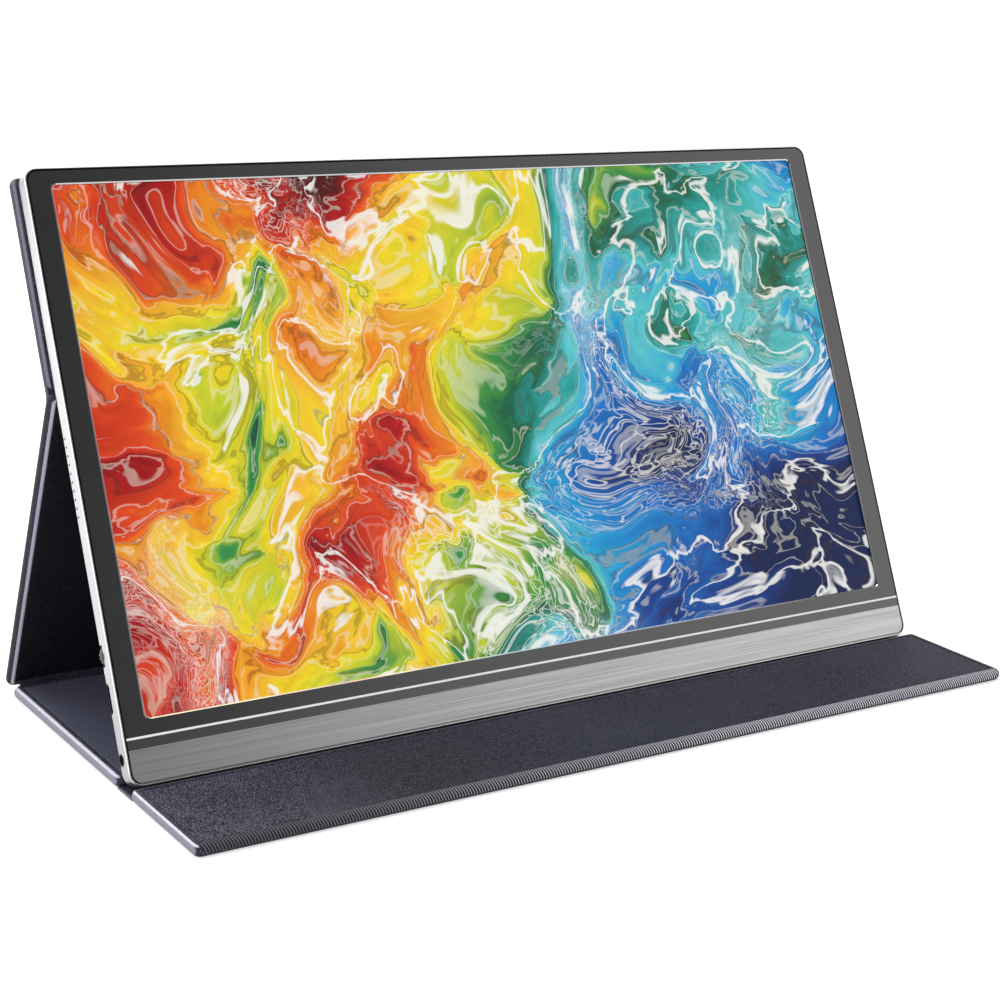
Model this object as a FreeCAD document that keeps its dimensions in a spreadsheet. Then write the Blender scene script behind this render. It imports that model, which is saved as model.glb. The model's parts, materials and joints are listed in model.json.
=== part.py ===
import FreeCAD, Part
import math
import os
import re

import Sketcher
from FreeCAD import Placement, Rotation, Vector

# Portable monitor that leans on a folding leather cover, in millimetres.
# +Z is up and the screen faces -Y. The origin is under the middle of the part.
# A flat piece is drawn lying on its back: X across, Y up the piece, Z towards
# the side that faces the user. Its frame then stands it where it belongs.

DIMENSIONS = {
    # Stand: how the display leans and how the cover folds
    "tilt": 24.2,
    "fold_height": 141,
    "leg_lean": 22.8,
    "spine_reach": 9,
    "spine_slope": 17,
    "spine_thick": 1,
    "strip_inset": 4,
    "groove_inset": 0.6,
    "strip_thick": 0.8,
    "groove_clear": 0.3,
    "nose_clear": 0.5,
    "flap_gap": 1.4,
    "flap_depth": 54.2,
    "back_drop": 0.4,
    "magnet_gap": 0.3,
    "fold_gap": 0.4,
    # Cover panels
    "cover_overhang": 1.5,
    "panel_thick": 4.8,
    "panel_side_flat": 0.4,
    "skin_floor": 0.9,
    "skin_border": 3.2,
    "skin_corner": 2.5,
    "lining_thick": 0.9,
    "lining_drop": 0.2,
    "seat_clear": 0.05,
    # Rear shell
    "shell_corner": 5,
    "shell_wall": 1.2,
    "shell_floor": 1.2,
    "rear_round": 3,
    "rim_round": 0.5,
    "rib_thick": 2,
    "rib_side_gap": 30,
    "low_rib_height": 86,
    "rib_drop": 5.5,
    # Front plates
    "front_gap": 0.15,
    "front_recess": 0.1,
    "bezel_thick": 1.2,
    "bezel_side": 10,
    "bezel_top": 6.5,
    "opening_width": 344.2,
    "opening_height": 193.6,
    "opening_bottom": 23.1,
    "opening_corner": 2,
    "opening_chamfer": 0.4,
    "chin_top": 13,
    "chin_ledge": 0.5,
    "trim_middle": 16.9,
    "trim_height": 0.8,
    "trim_depth": 0.5,
    "trim_proud": 0.1,
    # Screen module
    "tray_side": 3.3,
    "tray_below": 9.9,
    "tray_above": 1.95,
    "tray_sheet": 0.4,
    "tape_thick": 0.2,
    "tape_margin": 0.6,
    "glass_thick": 1.1,
    "films_thick": 0.4,
    "guide_thick": 0.7,
    "module_clear": 0.1,
    "led_depth": 1,
    "timing_width": 220,
    "timing_height": 8,
    "timing_left": 95,
    "timing_above": 2,
    "flex_width": 24,
    "flex_thick": 0.2,
    "flex_pitch": 75,
    "flex_first": 72,
    "flex_hold": 1.6,
    # Boards
    "board_thick": 0.8,
    "board_inset": 0.4,
    "boss_height": 0.6,
    "boss_radius": 2.2,
    "pilot_radius": 0.8,
    "pilot_depth": 1.2,
    "screw_clear": 0.05,
    "screw_hole": 1.1,
    "screw_head_radius": 1.7,
    "screw_head_height": 0.7,
    "screw_inset": 3.4,
    "main_width": 58,
    "main_above_wheel": 13.4,
    "side_width": 28,
    "side_below": 11,
    "side_above": 16,
    "can_width": 26,
    "can_height": 24,
    "can_sheet": 0.2,
    "can_left": 20,
    "can_above": 16,
    "chip_side": 14,
    "chip_thick": 0.8,
    "coil_side": 6,
    "plug_width": 5,
    "plug_height": 6,
    "plug_thick": 1,
    "cable_thick": 0.3,
    "ribbon_thick": 0.3,
    "ribbon_width": 10,
    "ribbon_grip": 6,
    # Sockets and controls in the side walls
    "port_clear": 0.2,
    "socket_wall": 0.3,
    "tongue_thick": 0.7,
    "tongue_side": 1,
    "tongue_setback": 0.8,
    "hdmi_middle": 32,
    "hdmi_mouth": 10.5,
    "hdmi_rise": 2.5,
    "hdmi_depth": 7.5,
    "usb_low_middle": 31,
    "usb_pitch": 16,
    "usb_mouth": 8.34,
    "usb_rise": 2.56,
    "usb_depth": 7.3,
    "jack_bore": 1.8,
    "jack_collar_wall": 0.4,
    "jack_wall": 1.2,
    "jack_side": 1,
    "jack_depth": 12,
    "jack_bore_depth": 11,
    "jack_hole_clear": 0.1,
    "wheel_above_port": 15.2,
    "wheel_radius": 4.5,
    "wheel_proud": 0.6,
    "wheel_thick": 2.2,
    "wheel_clear": 0.3,
    "wheel_float": 0.1,
    "wheel_pin": 0.8,
    "wheel_pin_clear": 0.05,
    "wheel_pin_spare": 0.3,
    "wheel_notch": 0.35,
    "switch_reach": 4,
    "light_gap": 1.3,
    "light_radius": 0.55,
    "light_clear": 0.05,
    "light_chip": 1.4,
    "light_chip_rise": 0.8,
    "grille_pitch": 3.15,
    "grille_radius": 0.5,
    "grille_low": 2.3,
    "grille_high": 4,
    "mesh_thick": 0.25,
    "speaker_depth": 11,
    "speaker_spare": 3,
    "speaker_gap": 12.3,
    "speaker_mouth": 0.8,
    "speaker_lip": 0.5,
    "button_pitch": 17,
    "button_length": 7,
    "button_rise": 2,
    "button_proud": 0.4,
    "button_clear": 0.15,
    "button_flange": 0.6,
    "button_flange_rim": 0.7,
    "button_travel": 0.4,
    "button_stem": 1.6,
    "button_stem_length": 0.6,
    "tact_depth": 3.5,
    "tact_width": 4,
    "tact_rise": 1.4,
    # Magnets
    "magnet_length": 30,
    "magnet_width": 8,
    "shell_magnet_thick": 1.6,
    "cover_magnet_thick": 2,
    "flap_magnet_setback": 8,
    # How far a cutting shape runs past the face that it opens
    "overrun": 2,
}

# Counts, and places that are shares of the piece that carries them
GRILLE_ROWS = 10
WHEEL_NOTCHES = 20
FLEX_TABS = 3
BACK_MAGNET_SHARES = (-0.33, -0.11, 0.11, 0.33)
FLAP_MAGNET_SHARES = (-0.3, 0.3)

# Levels and places worked out from the dimensions. Levels are heights over the
# back of the display as it lies; fold_, leg_, spine_, base_ and flap_ places are
# in the part's own frame.
LAYOUT = {
    "nose": "panel_thick/2",
    "panel_side_round": "nose - panel_side_flat",
    "panel_board": "panel_thick - skin_floor - lining_thick - lining_drop",
    "display_width": "opening_width + 2*bezel_side",
    "display_height": "opening_bottom + opening_height + bezel_top",
    "cover_width": "display_width + 2*cover_overhang",
    "inner_half": "display_width/2 - shell_wall",
    "board_back": "shell_floor + boss_height",
    "board_front": "board_back + board_thick",
    "board_edge": "inner_half - board_inset",
    "board_room": "boss_height + board_thick + plug_thick + cable_thick + board_thick",
    "socket_room": "max(hdmi_rise; usb_rise) + 2*socket_wall + 2*module_clear",
    "tray_back": "shell_floor + max(board_room; socket_room)",
    "tray_floor": "tray_back + tray_sheet",
    "guide_front": "tray_floor + guide_thick",
    "films_front": "guide_front + films_thick",
    "glass_front": "films_front + glass_thick",
    "bezel_back": "glass_front + tape_thick",
    "bezel_front": "bezel_back + bezel_thick",
    "display_thick": "bezel_front + front_recess",
    "tray_width": "opening_width + 2*tray_side",
    "tray_bottom": "opening_bottom - tray_below",
    "tray_top": "opening_bottom + opening_height + tray_above",
    "high_rib_height": "tray_top - rib_drop",
    "plate_width": "display_width - 2*shell_wall - 2*front_gap",
    "plate_height": "display_height - 2*shell_wall - 2*front_gap",
    "plate_corner": "shell_corner - shell_wall - front_gap",
    "port_level": "(shell_floor + tray_back)/2",
    "jack_tall": "2*jack_bore + 2*jack_wall",
    "jack_width": "2*jack_bore + 2*jack_side",
    "jack_collar": "jack_bore + jack_collar_wall",
    "jack_level": "shell_floor + jack_tall/2",
    "jack_middle": "tray_bottom - module_clear - jack_width/2",
    "wheel_middle": "hdmi_middle + wheel_above_port",
    "wheel_x": "wheel_radius - wheel_proud - display_width/2",
    "wheel_back": "port_level - wheel_thick/2",
    "wheel_slot": "2*sqrt(pow(wheel_radius; 2) - pow(wheel_x + inner_half; 2)) + 2*wheel_clear",
    "light_middle": "wheel_middle - wheel_radius - light_gap",
    "main_bottom": "tray_bottom + board_inset",
    "main_top": "wheel_middle + main_above_wheel",
    "can_thick": "chip_thick + can_sheet + module_clear",
    "plug_left": "main_width - board_edge - plug_width - 2*screw_inset",
    "usb_high_middle": "usb_low_middle + usb_pitch",
    "button_middle": "usb_high_middle + button_pitch",
    "side_bottom": "usb_low_middle - side_below",
    "side_top": "button_middle + side_above",
    "ribbon_bottom": "side_bottom + screw_inset + boss_radius + module_clear",
    "grille_first": "side_top + speaker_gap + speaker_spare + grille_pitch/2",
    "groove_arc_y": "(display_thick - rear_round)*cos(tilt) + rear_round*sin(tilt)",
    "groove_arc_z": "strip_thick + groove_clear + rear_round",
    "foot_z": "groove_arc_z - rear_round*cos(tilt) + (display_thick - rear_round)*sin(tilt)",
    "fold_depth": "display_thick + magnet_gap + nose",
    "fold_run": "fold_height*sin(tilt) + fold_depth*cos(tilt)",
    "fold_z": "foot_z + fold_height*cos(tilt) - fold_depth*sin(tilt)",
    "heel_z": "nose + spine_reach*sin(spine_slope)",
    "leg_reach": "(fold_z - heel_z)/cos(leg_lean)",
    "leg_run": "leg_reach*sin(leg_lean)",
    "foot_y": "(flap_gap + flap_depth - fold_run - leg_run - nose)/2",
    "fold_y": "foot_y + fold_run",
    "heel_y": "fold_y + leg_run",
    "spine_y": "heel_y - spine_reach*cos(spine_slope)",
    "base_y": "foot_y + groove_arc_y"
    " + sqrt(pow(rear_round + nose + nose_clear; 2) - pow(groove_arc_z - nose; 2))",
    "base_reach": "spine_y - base_y",
    "flap_y": "foot_y - flap_gap - nose",
    "flap_reach": "flap_depth - panel_thick",
    "back_low": "fold_height + panel_thick + fold_gap",
    "back_reach": "display_height - back_drop - nose - back_low",
    "magnet_height": "back_low + back_reach/2",
}

# Each frame: the Y and Z of a piece's zero point, and the piece's turn about X
FRAMES = {
    "display": (
        "foot_y + display_thick*cos(tilt)",
        "foot_z - display_thick*sin(tilt)",
        "90 - tilt",
    ),
    "back": (
        "foot_y + back_low*sin(tilt) + (fold_depth + nose)*cos(tilt)",
        "foot_z + back_low*cos(tilt) - (fold_depth + nose)*sin(tilt)",
        "90 - tilt",
    ),
    "leg": ("heel_y + nose*cos(leg_lean)", "heel_z + nose*sin(leg_lean)", "90 + leg_lean"),
    "spine": ("spine_y", "nose", "spine_slope"),
    "base": ("base_y", "0", None),
    "flap": ("flap_y - flap_reach", "0", None),
    "floor": ("0", "0", None),
}

doc = FreeCAD.newDocument("portable_monitor")
sheets = {}
sub_parts = []


def formula(text):
    # An expression on plain names, with each name led back to the sheet that holds it
    def full(match):
        name = match.group()
        if name in DIMENSIONS:
            return "dims." + name
        if name in LAYOUT:
            return "layout." + name
        return name

    return re.sub(r"[a-z][a-z_]*", full, str(text))


def fill_sheet(name, cells):
    sheet = doc.addObject("Spreadsheet::Sheet", name)
    sheets[name] = sheet
    for row, (alias, content) in enumerate(cells.items(), 1):
        sheet.set(f"A{row}", alias)
        sheet.setAlias(f"B{row}", alias)
        sheet.set(f"B{row}", content)
    doc.recompute()


def number(text):
    # The present value of an expression, for the first guess of a sketch
    return float(sheets["dims"].evalExpression(formula(text)))


def bind(feature, **properties):
    for name, text in properties.items():
        feature.setExpression(name.replace("__", "."), formula(text))


def sub_part(label):
    body = doc.addObject("PartDesign::Body", label)
    body.Label = label
    sub_parts.append(body)
    return body


def stand(body, frame):
    # Puts a finished piece in its frame
    y, z, turn = FRAMES[frame]
    if turn:
        body.Placement = Placement(Vector(), Rotation(Vector(1, 0, 0), number(turn)))
        bind(body, Placement__Rotation__Angle=turn)
    bind(body, Placement__Base__y=y, Placement__Base__z=z)


def box(body, size, at, cut=False):
    # A block by its three sizes and its lowest corner
    kind = "PartDesign::SubtractiveBox" if cut else "PartDesign::AdditiveBox"
    feature = body.newObject(kind, "block")
    bind(feature, Length=size[0], Width=size[1], Height=size[2])
    bind(feature, Placement__Base__x=at[0], Placement__Base__y=at[1], Placement__Base__z=at[2])
    return feature


def cylinder(body, radius, height, at, along="z", cut=False):
    # A round bar from a point on its axis, along +X or +Z
    kind = "PartDesign::SubtractiveCylinder" if cut else "PartDesign::AdditiveCylinder"
    feature = body.newObject(kind, "round")
    if along == "x":
        feature.Placement = Placement(Vector(), Rotation(Vector(0, 1, 0), 90))
    bind(feature, Radius=radius, Height=height)
    bind(feature, Placement__Base__x=at[0], Placement__Base__y=at[1], Placement__Base__z=at[2])
    return feature


def slot(body, left, middle, level, depth, length, rise):
    # A round-ended cut along X, whose length runs up the display
    flat = f"({length}) - ({rise})"
    box(body, (depth, flat, rise), (left, f"{middle} - ({flat})/2", f"{level} - ({rise})/2"), cut=True)
    for side in (-1, 1):
        centre = f"{middle} + {side}*({flat})/2"
        cylinder(body, f"({rise})/2", depth, (left, centre, level), along="x", cut=True)


def origin_plane(body, role):
    return next(feature for feature in body.Origin.OriginFeatures if feature.Role == role)


def drawing(body, role):
    sketch = body.newObject("Sketcher::SketchObject", "outline")
    sketch.AttachmentSupport = (origin_plane(body, role), [""])
    sketch.MapMode = "FlatFace"
    return sketch


def drive(sketch, name, text, kind, *place):
    # A named sketch dimension that follows the sheet
    index = sketch.addConstraint(Sketcher.Constraint(kind, *place, number(text)))
    sketch.renameConstraint(index, name)
    sketch.setExpression("Constraints." + name, formula(text))


def join_tangent(sketch, count):
    # Ties each piece of a closed outline smoothly to the next
    for piece in range(count):
        following = (piece + 1) % count
        sketch.addConstraint(Sketcher.Constraint("Tangent", piece, 2, following, 1))


def rounded_outline(body, width, height, corner, middle, level):
    # A rectangle with four round corners about a middle point, at a level over XY
    sketch = drawing(body, "XY_Plane")
    across, along, radius = number(width) / 2, number(height) / 2, number(corner)
    quarter = math.pi / 2
    for turn in range(4):
        side = Rotation(Vector(0, 0, 1), 90 * turn)
        reach, half = (across, along) if turn % 2 == 0 else (along, across)
        start = side.multVec(Vector(reach, radius - half, 0))
        end = side.multVec(Vector(reach, half - radius, 0))
        centre = side.multVec(Vector(reach - radius, half - radius, 0))
        sketch.addGeometry(Part.LineSegment(start, end))
        circle = Part.Circle(centre, Vector(0, 0, 1), radius)
        sketch.addGeometry(Part.ArcOfCircle(circle, turn * quarter, (turn + 1) * quarter))
    join_tangent(sketch, 8)
    for turn, kind in enumerate(("Vertical", "Horizontal", "Vertical", "Horizontal")):
        sketch.addConstraint(Sketcher.Constraint(kind, 2 * turn))
    for turn in range(1, 4):
        sketch.addConstraint(Sketcher.Constraint("Equal", 1, 2 * turn + 1))
    sketch.addConstraint(Sketcher.Constraint("Symmetric", 1, 3, 5, 3, -1, 1))
    drive(sketch, "corner", corner, "Radius", 1)
    drive(sketch, "width", width, "DistanceX", 4, 1, 0, 1)
    drive(sketch, "height", height, "DistanceY", 6, 1, 2, 1)
    bind(
        sketch,
        AttachmentOffset__Base__x=middle[0],
        AttachmentOffset__Base__y=middle[1],
        AttachmentOffset__Base__z=level,
    )
    return sketch


def plate(body, width, height, corner, thick, middle, level):
    # A round-cornered plate from a level upwards
    pad = body.newObject("PartDesign::Pad", "plate")
    pad.Profile = rounded_outline(body, width, height, corner, middle, level)
    bind(pad, Length=thick)
    doc.recompute()
    return pad


def window(body, width, height, corner, depth, middle, level):
    # A round-cornered cut from a level downwards
    pocket = body.newObject("PartDesign::Pocket", "window")
    pocket.Profile = rounded_outline(body, width, height, corner, middle, level)
    bind(pocket, Length=depth)
    doc.recompute()
    return pocket


def edges_where(feature, test):
    return [f"Edge{index}" for index, edge in enumerate(feature.Shape.Edges, 1) if test(edge)]


def lies_at(edge, level):
    box_of = edge.BoundBox
    near = 1e-6
    return abs(box_of.ZMin - level) < near and abs(box_of.ZMax - level) < near


def soften(body, base, radius, test, kind="Fillet"):
    # Rounds or bevels the edges of the last feature that pass the test
    feature = body.newObject("PartDesign::" + kind, kind.lower())
    feature.Base = (base, edges_where(base, test))
    bind(feature, **{"Radius" if kind == "Fillet" else "Size": radius})
    doc.recompute()
    return feature


# Cover


def panel_skin(name, reach, frame):
    # Leather skin of one panel: round noses at both ends, round sides, and an
    # inner side that is open inside the turned-over border
    body = sub_part(name + "_skin")
    sketch = drawing(body, "YZ_Plane")
    length, radius = number(reach), number("nose")
    quarter = math.pi / 2
    sketch.addGeometry(Part.LineSegment(Vector(), Vector(length, 0, 0)))
    far = Part.Circle(Vector(length, radius, 0), Vector(0, 0, 1), radius)
    sketch.addGeometry(Part.ArcOfCircle(far, -quarter, quarter))
    sketch.addGeometry(Part.LineSegment(Vector(length, 2 * radius, 0), Vector(0, 2 * radius, 0)))
    near = Part.Circle(Vector(0, radius, 0), Vector(0, 0, 1), radius)
    sketch.addGeometry(Part.ArcOfCircle(near, quarter, 3 * quarter))
    join_tangent(sketch, 4)
    sketch.addConstraint(Sketcher.Constraint("Horizontal", 0))
    sketch.addConstraint(Sketcher.Constraint("Coincident", 0, 1, -1, 1))
    drive(sketch, "reach", reach, "DistanceX", 0, 1, 0, 2)
    drive(sketch, "nose", "nose", "Radius", 1)
    pad = body.newObject("PartDesign::Pad", "blank")
    pad.Profile = sketch
    pad.SideType = "Symmetric"
    bind(pad, Length="cover_width")
    doc.recompute()
    soften(body, pad, "panel_side_round", lambda edge: edge.BoundBox.XLength < 1e-6)
    width, height = panel_room(reach)
    depth = "panel_thick - skin_floor"
    window(body, width, height, "skin_corner", depth, ("0", f"({reach})/2"), "panel_thick")
    stand(body, frame)
    return body


def panel_room(reach):
    # The room inside a skin's border, across and along the panel
    return "cover_width - 2*skin_border", f"({reach}) + 2*nose - 2*skin_border"


def panel_board(name, reach, frame, magnets=()):
    # Stiffening board, with a hole for each magnet that it holds
    body = sub_part(name + "_board")
    width, height = panel_room(reach)
    loose = "2*seat_clear"
    plate(
        body,
        f"{width} - {loose}",
        f"{height} - {loose}",
        "skin_corner",
        "panel_board",
        ("0", f"({reach})/2"),
        "skin_floor",
    )
    for x, y in magnets:
        size = (f"magnet_length + {loose}", f"magnet_width + {loose}", "panel_board")
        corner = (f"{x} - magnet_length/2 - seat_clear", f"{y} - magnet_width/2 - seat_clear")
        box(body, size, (*corner, "skin_floor"), cut=True)
    stand(body, frame)


def panel_lining(name, reach, frame):
    body = sub_part(name + "_lining")
    width, height = panel_room(reach)
    plate(
        body,
        f"{width} - 2*seat_clear",
        f"{height} - 2*seat_clear",
        "skin_corner",
        "lining_thick",
        ("0", f"({reach})/2"),
        "skin_floor + panel_board",
    )
    stand(body, frame)


def panel_magnets(name, frame, places):
    body = sub_part(name)
    for x, y in places:
        corner = (f"{x} - magnet_length/2", f"{y} - magnet_width/2", "skin_floor")
        box(body, ("magnet_length", "magnet_width", "cover_magnet_thick"), corner)
    stand(body, frame)


def cover_panels():
    back_magnets = [
        (f"{share}*display_width", "magnet_height - back_low") for share in BACK_MAGNET_SHARES
    ]
    flap_magnets = [(f"{share}*cover_width", "flap_magnet_setback") for share in FLAP_MAGNET_SHARES]
    panels = (
        ("back", "back_reach", back_magnets),
        ("leg", "leg_reach", ()),
        ("base", "base_reach", ()),
        ("flap", "flap_reach", flap_magnets),
    )
    for name, reach, magnets in panels:
        panel_skin(name, reach, name)
        panel_board(name, reach, name, magnets)
        panel_lining(name, reach, name)
    panel_magnets("back_magnets", "back", back_magnets)
    panel_magnets("flap_magnets", "flap", flap_magnets)


def spine_strip():
    # Leather between the base and the leg, hollowed at both ends round the noses
    body = sub_part("spine_strip")
    width = "cover_width - 2*strip_inset"
    corner = (f"-({width})/2", "0", "-spine_thick/2")
    box(body, (width, "spine_reach", "spine_thick"), corner)
    for end in ("0", "spine_reach"):
        start = (f"-({width})/2 - overrun", end, "0")
        cylinder(body, "nose + fold_gap", f"{width} + 2*overrun", start, along="x", cut=True)
    stand(body, "spine")


def groove_strip():
    # Leather floor of the groove, tucked under the base's nose and clear of the flap's
    body = sub_part("groove_strip")
    width = "cover_width - 2*groove_inset"
    box(body, (width, "base_y - flap_y", "strip_thick"), (f"-({width})/2", "flap_y", "0"))
    for end, room in (("flap_y", "fold_gap"), ("base_y", "seat_clear")):
        start = (f"-({width})/2 - overrun", end, "nose")
        cylinder(body, f"nose + {room}", f"{width} + 2*overrun", start, along="x", cut=True)
    stand(body, "floor")


# Display: shell and front


def board_corners(left, right, low, high):
    # Screw places near the four corners of a board
    for x in (f"{left} + screw_inset", f"{right} - screw_inset"):
        for y in (f"{low} + screw_inset", f"{high} - screw_inset"):
            yield x, y


def screw_places():
    # The main board's left side is full of sockets, so its screws stay on the right
    main = list(board_corners("-board_edge", "main_width - board_edge", "main_bottom", "main_top"))
    side = list(board_corners("board_edge - side_width", "board_edge", "side_bottom", "side_top"))
    return main[2:] + side


def rear_shell():
    body = sub_part("rear_shell")
    middle = ("0", "display_height/2")
    blank = plate(
        body, "display_width", "display_height", "shell_corner", "display_thick", middle, "0"
    )
    rounded = soften(body, blank, "rear_round", lambda edge: lies_at(edge, 0))
    front = number("display_thick")
    soften(body, rounded, "rim_round", lambda edge: lies_at(edge, front))
    window(
        body,
        "display_width - 2*shell_wall",
        "display_height - 2*shell_wall",
        "shell_corner - shell_wall",
        "display_thick - shell_floor",
        middle,
        "display_thick",
    )
    rib_width = "tray_width - 2*rib_side_gap"
    for low in ("low_rib_height", "high_rib_height"):
        size = (rib_width, "rib_thick", "tray_back - shell_floor")
        box(body, size, (f"-({rib_width})/2", low, "shell_floor"))
    for x, y in screw_places():
        cylinder(body, "boss_radius", "boss_height", (x, y, "shell_floor"))
        depth = "pilot_depth"
        cylinder(body, "pilot_radius", depth, (x, y, f"board_back - {depth}"), cut=True)
    left_cuts(body)
    right_cuts(body)
    stand(body, "display")


def grille(body, left):
    # Two rows of round holes in front of a speaker
    for row in range(GRILLE_ROWS):
        for level in ("grille_low", "grille_high"):
            place = (left, f"grille_first + {row}*grille_pitch", level)
            cylinder(body, "grille_radius", "shell_wall + 2*overrun", place, along="x", cut=True)


def left_cuts(body):
    outside = "-display_width/2 - overrun"
    through = "shell_wall + 2*overrun"
    grille(body, outside)
    loose = "2*port_clear"
    mouth = ("hdmi_middle", "port_level", through, f"hdmi_mouth + {loose}", f"hdmi_rise + {loose}")
    slot(body, outside, *mouth)
    tall = "wheel_thick + 2*wheel_clear"
    corner = (outside, "wheel_middle - wheel_slot/2", f"port_level - ({tall})/2")
    box(body, (through, "wheel_slot", tall), corner, cut=True)
    jack = (outside, "jack_middle", "jack_level")
    cylinder(body, "jack_collar + jack_hole_clear", through, jack, along="x", cut=True)
    light = (outside, "light_middle", "port_level")
    cylinder(body, "light_radius + light_clear", through, light, along="x", cut=True)


def right_cuts(body):
    inside = "inner_half - overrun"
    through = "shell_wall + 2*overrun"
    grille(body, inside)
    loose = "2*port_clear"
    for middle in ("usb_low_middle", "usb_high_middle"):
        slot(body, inside, middle, "port_level", through, f"usb_mouth + {loose}", f"usb_rise + {loose}")
    loose = "2*button_clear"
    rise = f"button_rise + {loose}"
    slot(body, inside, "button_middle", "port_level", through, f"button_length + {loose}", rise)


def front_blank(body, level):
    # The outline that all front plates share, just inside the shell's rim
    middle = ("0", "display_height/2")
    thick = f"bezel_front - ({level})"
    return plate(body, "plate_width", "plate_height", "plate_corner", thick, middle, level)


def front_bezel():
    # Frame round the screen, with a seat for the chin bar and a groove for the trim
    body = sub_part("front_bezel")
    front_blank(body, "bezel_back")
    opening = window(
        body,
        "opening_width",
        "opening_height",
        "opening_corner",
        "bezel_thick + overrun",
        ("0", "opening_bottom + opening_height/2"),
        "bezel_front",
    )
    half = number("opening_width/2 + front_gap")
    low, high = number("opening_bottom - front_gap"), number("plate_height - shell_wall")
    front = number("bezel_front")

    def on_opening(edge):
        extent = edge.BoundBox
        inside = abs(extent.XMin) < half and abs(extent.XMax) < half
        return inside and lies_at(edge, front) and extent.YMin > low and extent.YMax < high

    soften(body, opening, "opening_chamfer", on_opening, "Chamfer")
    wide = "plate_width + 2*overrun"
    left = f"-({wide})/2"
    chin_seat = "chin_top + front_gap + overrun"
    box(body, (wide, chin_seat, "bezel_thick"), (left, "-overrun", "bezel_back + chin_ledge"), cut=True)
    groove = (left, "trim_middle - trim_height/2", "bezel_front - trim_depth")
    box(body, (wide, "trim_height", "trim_depth + overrun"), groove, cut=True)
    stand(body, "display")


def chin_bar():
    body = sub_part("chin_bar")
    front_blank(body, "bezel_back + chin_ledge")
    wide = "plate_width + 2*overrun"
    corner = (f"-({wide})/2", "chin_top", "bezel_back - overrun")
    box(body, (wide, "display_height", "display_thick + overrun"), corner, cut=True)
    stand(body, "display")


def trim_strip():
    body = sub_part("trim_strip")
    corner = ("-plate_width/2", "trim_middle - trim_height/2", "bezel_front - trim_depth")
    box(body, ("plate_width", "trim_height", "trim_depth + trim_proud"), corner)
    stand(body, "display")


# Display: screen module


def module_layer(name, inset, low, thick, level, frame="display"):
    # One flat layer in the tray, by its gap to the tray's walls
    body = sub_part(name)
    wide = f"tray_width - 2*tray_sheet - 2*({inset})"
    bottom = f"tray_bottom + tray_sheet + ({low})"
    tall = f"tray_top - tray_sheet - ({inset}) - ({bottom})"
    box(body, (wide, tall, thick), (f"-({wide})/2", bottom, level))
    stand(body, frame)


def panel_tray():
    body = sub_part("panel_tray")
    tall = "tray_top - tray_bottom"
    corner = ("-tray_width/2", "tray_bottom", "tray_back")
    box(body, ("tray_width", tall, "glass_front - tray_back"), corner)
    inner = ("tray_width - 2*tray_sheet", f"{tall} - 2*tray_sheet", "glass_front - tray_floor + overrun")
    corner = ("tray_sheet - tray_width/2", "tray_bottom + tray_sheet", "tray_floor")
    box(body, inner, corner, cut=True)
    stand(body, "display")


def screen_module():
    panel_tray()
    led_room = "led_depth + 2*module_clear"
    module_layer("lcd_glass", "module_clear", "module_clear", "glass_thick", "films_front")
    module_layer("optical_films", "module_clear", "module_clear", "films_thick", "guide_front")
    module_layer("light_guide", "module_clear", led_room, "guide_thick", "tray_floor")
    strip = sub_part("led_strip")
    corner = ("-opening_width/2", "tray_bottom + tray_sheet + module_clear", "tray_floor")
    box(strip, ("opening_width", "led_depth", "guide_thick"), corner)
    stand(strip, "display")
    bezel_tape()
    timing_board()
    panel_flex()


def bezel_tape():
    # Tape frame that holds the bezel to the edge of the glass, clear of the flex tabs
    body = sub_part("bezel_tape")
    edge = "tray_sheet + module_clear"
    wide = f"tray_width - 2*({edge})"
    bottom = f"tray_bottom + {edge} + flex_hold"
    tall = f"tray_top - {edge} - ({bottom})"
    box(body, (wide, tall, "tape_thick"), (f"-({wide})/2", bottom, "glass_front"))
    hole = ("opening_width + 2*tape_margin", "opening_height + 2*tape_margin", "tape_thick + 2*overrun")
    corner = (
        "-opening_width/2 - tape_margin",
        "opening_bottom - tape_margin",
        "glass_front - overrun",
    )
    box(body, hole, corner, cut=True)
    stand(body, "display")


def timing_board():
    body = sub_part("timing_board")
    corner = ("-timing_left", "tray_bottom + timing_above", "tray_back - board_thick")
    box(body, ("timing_width", "timing_height", "board_thick"), corner)
    stand(body, "display")


def panel_flex():
    # Film tabs from the glass round the tray's lower edge to the timing board
    body = sub_part("panel_flex")
    low = "tray_bottom - flex_thick"
    for tab in range(FLEX_TABS):
        left = f"{tab}*flex_pitch - flex_first"
        rise = "bezel_back - tray_back + flex_thick"
        box(body, ("flex_width", "flex_thick", rise), (left, low, "tray_back - flex_thick"))
        onto_glass = "flex_thick + tray_sheet + flex_hold"
        box(body, ("flex_width", onto_glass, "tape_thick"), (left, low, "glass_front"))
        onto_board = "flex_thick + timing_above"
        box(body, ("flex_width", onto_board, "flex_thick"), (left, low, "tray_back - flex_thick"))
    stand(body, "display")


# Display: boards and cables


def screw_holes(body, places):
    for x, y in places:
        start = (x, y, "board_back - overrun")
        cylinder(body, "screw_hole", "board_thick + 2*overrun", start, cut=True)


def main_board():
    body = sub_part("main_board")
    tall = "main_top - main_bottom"
    box(body, ("main_width", tall, "board_thick"), ("-board_edge", "main_bottom", "board_back"))
    depth = "hdmi_depth + 2*port_clear"
    wide = "hdmi_mouth + 2*socket_wall + 2*port_clear"
    board_notch(body, "-inner_half", depth, "hdmi_middle", wide)
    depth = "wheel_x + wheel_radius + wheel_clear + switch_reach + port_clear + inner_half"
    wide = "2*wheel_radius + 4*wheel_clear"
    board_notch(body, "-inner_half", depth, "wheel_middle", wide)
    screw_holes(body, screw_places()[:2])
    stand(body, "display")


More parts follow.
